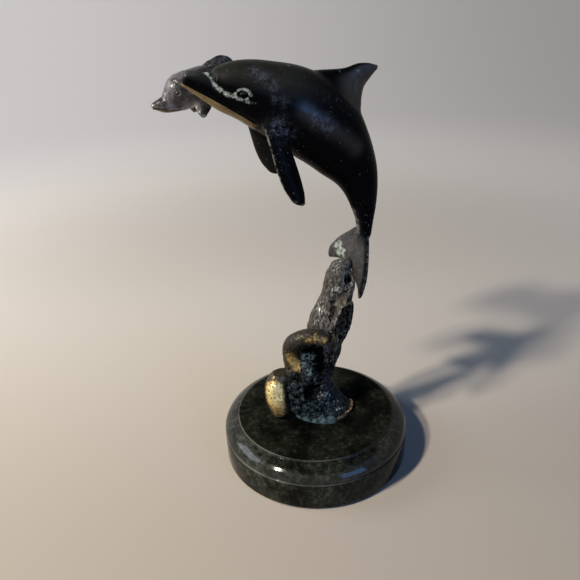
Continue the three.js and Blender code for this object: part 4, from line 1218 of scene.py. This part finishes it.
# Calf: cast in the same way and brazed flank to flank behind her head, where pale residue is left round
# its fin. Its grey-bronze patina is thinner and rougher, with brass showing on the chin.
CALF_BESIDE = (32, -19.4, 52)
CALF_PLACE = MOTHER_PLACE @ Matrix.Translation(CALF_BESIDE)
CALF_SPINE = [
    (0, 0, 2.3, 2),
    (1, 5.2, 3, 2.4),
    (4.1, 11.9, 4.4, 3.6),
    (10.3, 17.6, 6.4, 5.4),
    (19.5, 20.3, 7.8, 7.2),
    (29.8, 20.3, 8.1, 7.8),
    (40, 19.1, 7.8, 7.4),
    (46.2, 18, 7.2, 6.6),
    (49.6, 16.6, 5.2, 5.2),
    (51.6, 15.8, 3.1, 3.4),
]
CALF_BEAK = [(45, 14.8, 4.4, 4.5), (52.4, 13.6, 3.4, 3.3), (55.6, 13.4, 2.3, 2.4), (57.9, 13.2, 1.4, 1.6)]
CALF_DORSAL_FIN = [
    (39, 0, 22.6, 20.5, 0, 20.6, 4),
    (35, 0, 28, 22, 0, 25.2, 3.4),
    (31, 0, 30.3, 22.4, 0, 27.2, 2.9),
    (27.6, 0, 31.4, 22.2, 0, 28.4, 2.4),
    (24.8, 0, 30.9, 22.2, 0, 28.8, 1.9),
]
CALF_FLIPPER = [
    (42, 4, 15.5, 33.4, 4, 15, 3.4),
    (41.4, 6.2, 11.8, 34.3, 6.2, 12, 2.7),
    (40.8, 7.6, 9.8, 35.8, 7.6, 10.2, 2.2),
    (39.8, 8.4, 8.6, 37.2, 8.4, 9, 1.7),
]
CALF_FLUKE_HUB = [(0, 0, 2.2, 1.9), (-3.4, 0, 1.9, 2.4), (-7.6, 0, 1.5, 2.4)]
CALF_FLUKE = [
    (-0.6, 0, 0, -10.2, 0, 0, 3),
    (-2, 2.8, 0, -10.8, 2.8, 0, 2.6),
    (-5.2, 6.3, 0, -12, 5.9, 0, 2.2),
    (-9.6, 9.4, 0, -13.6, 9, 0, 1.8),
    (-13.2, 11.2, 0, -15.2, 11, 0, 1.4),
]
CALF_TAIL = Matrix.Rotation(math.radians(-95), 4, "Y")
CALF_TAIL_JOINT = Vector((-0.8, 0, 0))
CALF_LOBE = Vector((-9, 0, 1.4))
CALF_MOUTH = [(59.2, 12.7), (55.6, 12.1), (52, 11.4), (49, 11.1), (46, 11.2)]
CALF_EYE = (48.2, 18.4)
CALF_RESIDUE = [(34, 2, 27.6), (30, 1.6, 27.5), (27, 1, 28.5)]
CALF_CLEARANCE = 0.12
CALF_GREY = (0.022, 0.021, 0.025, 1)
CALF_BRONZE = (0.007, 0.0065, 0.006, 1)
CALF_PALE = (0.15, 0.145, 0.155, 1)

calf_wax = wax_of(
    (dolphin_spine(CALF_SPINE), 0, 1.2),
    (dolphin_spine(CALF_BEAK), 0, 0.9),
    (fin_sections(CALF_DORSAL_FIN), 0, 0.8),
    (fin_sections(CALF_FLIPPER), 0, 0.8),
    (moved(fin_sections(CALF_FLIPPER), MIRROR), 0, 0.8),
    (moved(dolphin_spine(CALF_FLUKE_HUB), CALF_TAIL), 0, 1.2),
    (moved(fin_sections(CALF_FLUKE), CALF_TAIL), 0, 0.8),
    (moved(fin_sections(CALF_FLUKE), CALF_TAIL @ MIRROR), 0, 0.8),
)
calf_skin = fuse(calf_wax, voxel=0.32, passes=5)
fill_corners(calf_skin, 160, rises(points_of(calf_skin)[:, 0], 58, 55))
carve_face(calf_skin, CALF_MOUTH, None, CALF_EYE, eye_radius=0.62, cut=0.5)
push(calf_skin, 0.17 * roughness_of(points_of(calf_skin), 3.0, 3, 21.0))

calf_points = points_of(calf_skin)
calf_in_mother = calf_points + np.array(CALF_BESIDE)
mother_tree = BVHTree.FromPolygons(
    [v.co for v in mother_skin.vertices], [tuple(p.vertices) for p in mother_skin.polygons]
)
for calf_number, calf_point in enumerate(calf_in_mother):
    flank, flank_normal, _, flank_gap = mother_tree.find_nearest(Vector(calf_point))
    if flank_gap < 4 and (Vector(calf_point) - flank).dot(flank_normal) < CALF_CLEARANCE:
        calf_points[calf_number] += np.array(flank + flank_normal * CALF_CLEARANCE) - calf_point
set_points(calf_skin, calf_points)

calf_edges = raised_edges(calf_skin, 5)
calf_x, calf_z = calf_points[:, 0], calf_points[:, 2]
calf_eye_gap = np.linalg.norm(calf_points[:, [0, 2]] - np.array(CALF_EYE), axis=1)
calf_residue = near_points(calf_points, CALF_RESIDUE, 3.2)
calf_mottle = roughness_of(calf_points, 4.5, 3, 33.0)
# Darker in the hollows, round the eye and in patches of mottle: patina in the hollows, partly painted
# shade.
calf_hollows_and_shade = np.maximum(-calf_edges * 12 - 0.1, 1.4 * fades(calf_eye_gap, 1.1))
calf_hollows_and_shade = np.clip(np.maximum(calf_hollows_and_shade, -2.6 * calf_mottle - 0.1), 0, 1)
set_masks(
    calf_skin,
    # Pale silver on the raised ridges: partly worn metal, partly painted highlight.
    edge=np.where(calf_eye_gap < 1.1, 0, calf_edges * 8),
    jaw=0.85 * rises(line_height(CALF_MOUTH, calf_x) - calf_z, 0, 0.6) * rises(calf_x, 44, 47),
    verdigris=0.4 * calf_residue - 0.9 * np.abs(calf_mottle),
    scuff=0.1 + 0.2 * calf_residue,
    speck=1.2 * calf_residue,
    grey=(0.28 + 1.8 * calf_mottle) * rises(calf_x, 36, 42),
    sheen=0,
    dusty=np.maximum(rises(calf_x, 30, 22), calf_hollows_and_shade),
)

grey_finish = patina_finish("grey_patina", CALF_GREY, CALF_BRONZE, CALF_PALE, 0.6, 0.25)
calf_castings = cut_castings(calf_skin, [
    flipper_cut(CALF_FLIPPER, Matrix.Identity(4), Matrix.Identity(4)),
    flipper_cut(CALF_FLIPPER, Matrix.Identity(4), MIRROR),
    tail_cut(CALF_TAIL, CALF_TAIL_JOINT, CALF_LOBE),
])
show_castings(calf_castings, CALF_PLACE, grey_finish, {
    "calf_body": "grey_patina",
    "calf_left_flipper": "grey_patina",
    "calf_right_flipper": "grey_patina",
    "calf_flukes": "grey_patina",
})


# Stage: a plain pale table top that sweeps up all round, two small warm lamps and a wide window at the
# left, a cool window and a faint cool sky at the right, and the photograph's camera.
FLOOR_FRONT_SHADED_COLOUR = (0.53, 0.47, 0.39, 1)
FLOOR_BACK_LIT_COLOUR = (0.88, 0.825, 0.745, 1)
FLOOR_FAR_COLOUR = (0.10, 0.10, 0.10, 1)
BACKDROP_COLOUR = (0.58, 0.555, 0.55, 1)
FLOOR_RADIUS = 900.0
SWEEP_RADIUS = 500.0
SWEEP_HEIGHT = 1800.0

sweep = [(0, 0), (FLOOR_RADIUS, 0)]
for sweep_step in range(1, 13):
    sweep_angle = math.pi / 2 * sweep_step / 12
    sweep.append((
        FLOOR_RADIUS + SWEEP_RADIUS * math.sin(sweep_angle),
        SWEEP_RADIUS * (1 - math.cos(sweep_angle)),
    ))
sweep.append((FLOOR_RADIUS + SWEEP_RADIUS, SWEEP_HEIGHT))
floor_finish = Finish("table_top", Roughness=0.75)
floor_far = floor_finish.levels_out((1, 1, 1), 550, 1050)
floor_bright = floor_finish.levels_out((1, 1, 1), 220, 950)
# Painted light on the table top: its colour is darker at the front and lighter towards the back.
floor_depth_light = floor_finish.levels_along("Y", -120, 220)
floor_lit_tone = floor_finish.blend(floor_depth_light, FLOOR_FRONT_SHADED_COLOUR, FLOOR_BACK_LIT_COLOUR)
floor_finish.paint(colour=floor_finish.blend(floor_far, floor_lit_tone, FLOOR_FAR_COLOUR))
floor_seen = floor_finish.add("ShaderNodeLightPath").outputs
floor_glow = floor_seen["Is Camera Ray"]
for floor_ray in ("Is Glossy Ray", "Is Transmission Ray"):
    floor_glow = floor_finish.maths("ADD", floor_glow, floor_seen[floor_ray])
# Painted light on the backdrop's glow: brighter on the left, fading towards the right.
floor_left_light = floor_finish.levels_along("X", -900, 900, 1.0, 0.43)
floor_glow = floor_finish.times(floor_glow, floor_bright, floor_left_light)
floor_finish.feed(floor_finish.shader.inputs["Emission Color"], BACKDROP_COLOUR)
floor_finish.feed(floor_finish.shader.inputs["Emission Strength"], floor_glow)
floor_bm = turn_on_lathe(sweep, steps=96, edge=0.1)
bmesh.ops.reverse_faces(floor_bm, faces=[f for f in floor_bm.faces if f.normal.z < 0])
floor = show("floor", floor_bm, floor_finish)

world = bpy.data.worlds.new("room")
bpy.context.scene.world = world
world.use_nodes = True
world.node_tree.nodes["Background"].inputs["Color"].default_value = (0.80, 0.86, 1.0, 1)
world.node_tree.nodes["Background"].inputs["Strength"].default_value = 0.02


def lamp(name, place, aim, size, power, colour):
    """A soft light the shape of a window, which faces the point `aim`."""
    light = bpy.data.lights.new(name, "AREA")
    light.shape = "RECTANGLE"
    light.size, light.size_y = size
    light.energy = power
    light.color = colour
    stand = bpy.data.objects.new(name, light)
    stand.location = place
    stand.rotation_euler = (Vector(aim) - Vector(place)).to_track_quat("-Z", "Y").to_euler()
    stand.visible_camera = False
    bpy.context.scene.collection.objects.link(stand)


lamp("lamp_left", (-0.575, -0.433, 0.695), (0, 0, 0.08), (0.06, 0.06), 4.7, (1.0, 0.90, 0.78))
lamp("lamp_left_high", (-0.522, -0.326, 0.788), (0, 0, 0.08), (0.06, 0.06), 3.5, (1.0, 0.90, 0.78))
lamp("window_left", (-0.816, 0.071, 0.574), (0, 0, 0.08), (0.5, 0.4), 2.4, (0.84, 0.92, 1.0))
lamp("window_right", (0.50, -0.62, 0.33), (0, 0, 0.18), (0.40, 0.5), 1.8, (0.17, 0.42, 1.0))
lamp("sky_right", (0.70, -0.32, 0.75), (0, 0, 0.15), (0.6, 0.6), 0.25, (0.30, 0.50, 1.0))

camera = bpy.data.objects.new("camera", bpy.data.cameras.new("camera"))
camera.data.lens = 36.0
camera.data.sensor_width = 36.0
camera.data.clip_start = 0.01
camera.matrix_world = (
    Matrix.Translation((-0.01088, -0.25981, 0.22543))
    @ Matrix.Rotation(math.radians(63.84), 4, "X")
    @ Matrix.Rotation(math.radians(-2.49), 4, "Z")
)
bpy.context.scene.collection.objects.link(camera)
bpy.context.scene.camera = camera
bpy.context.scene.view_settings.view_transform = "Standard"
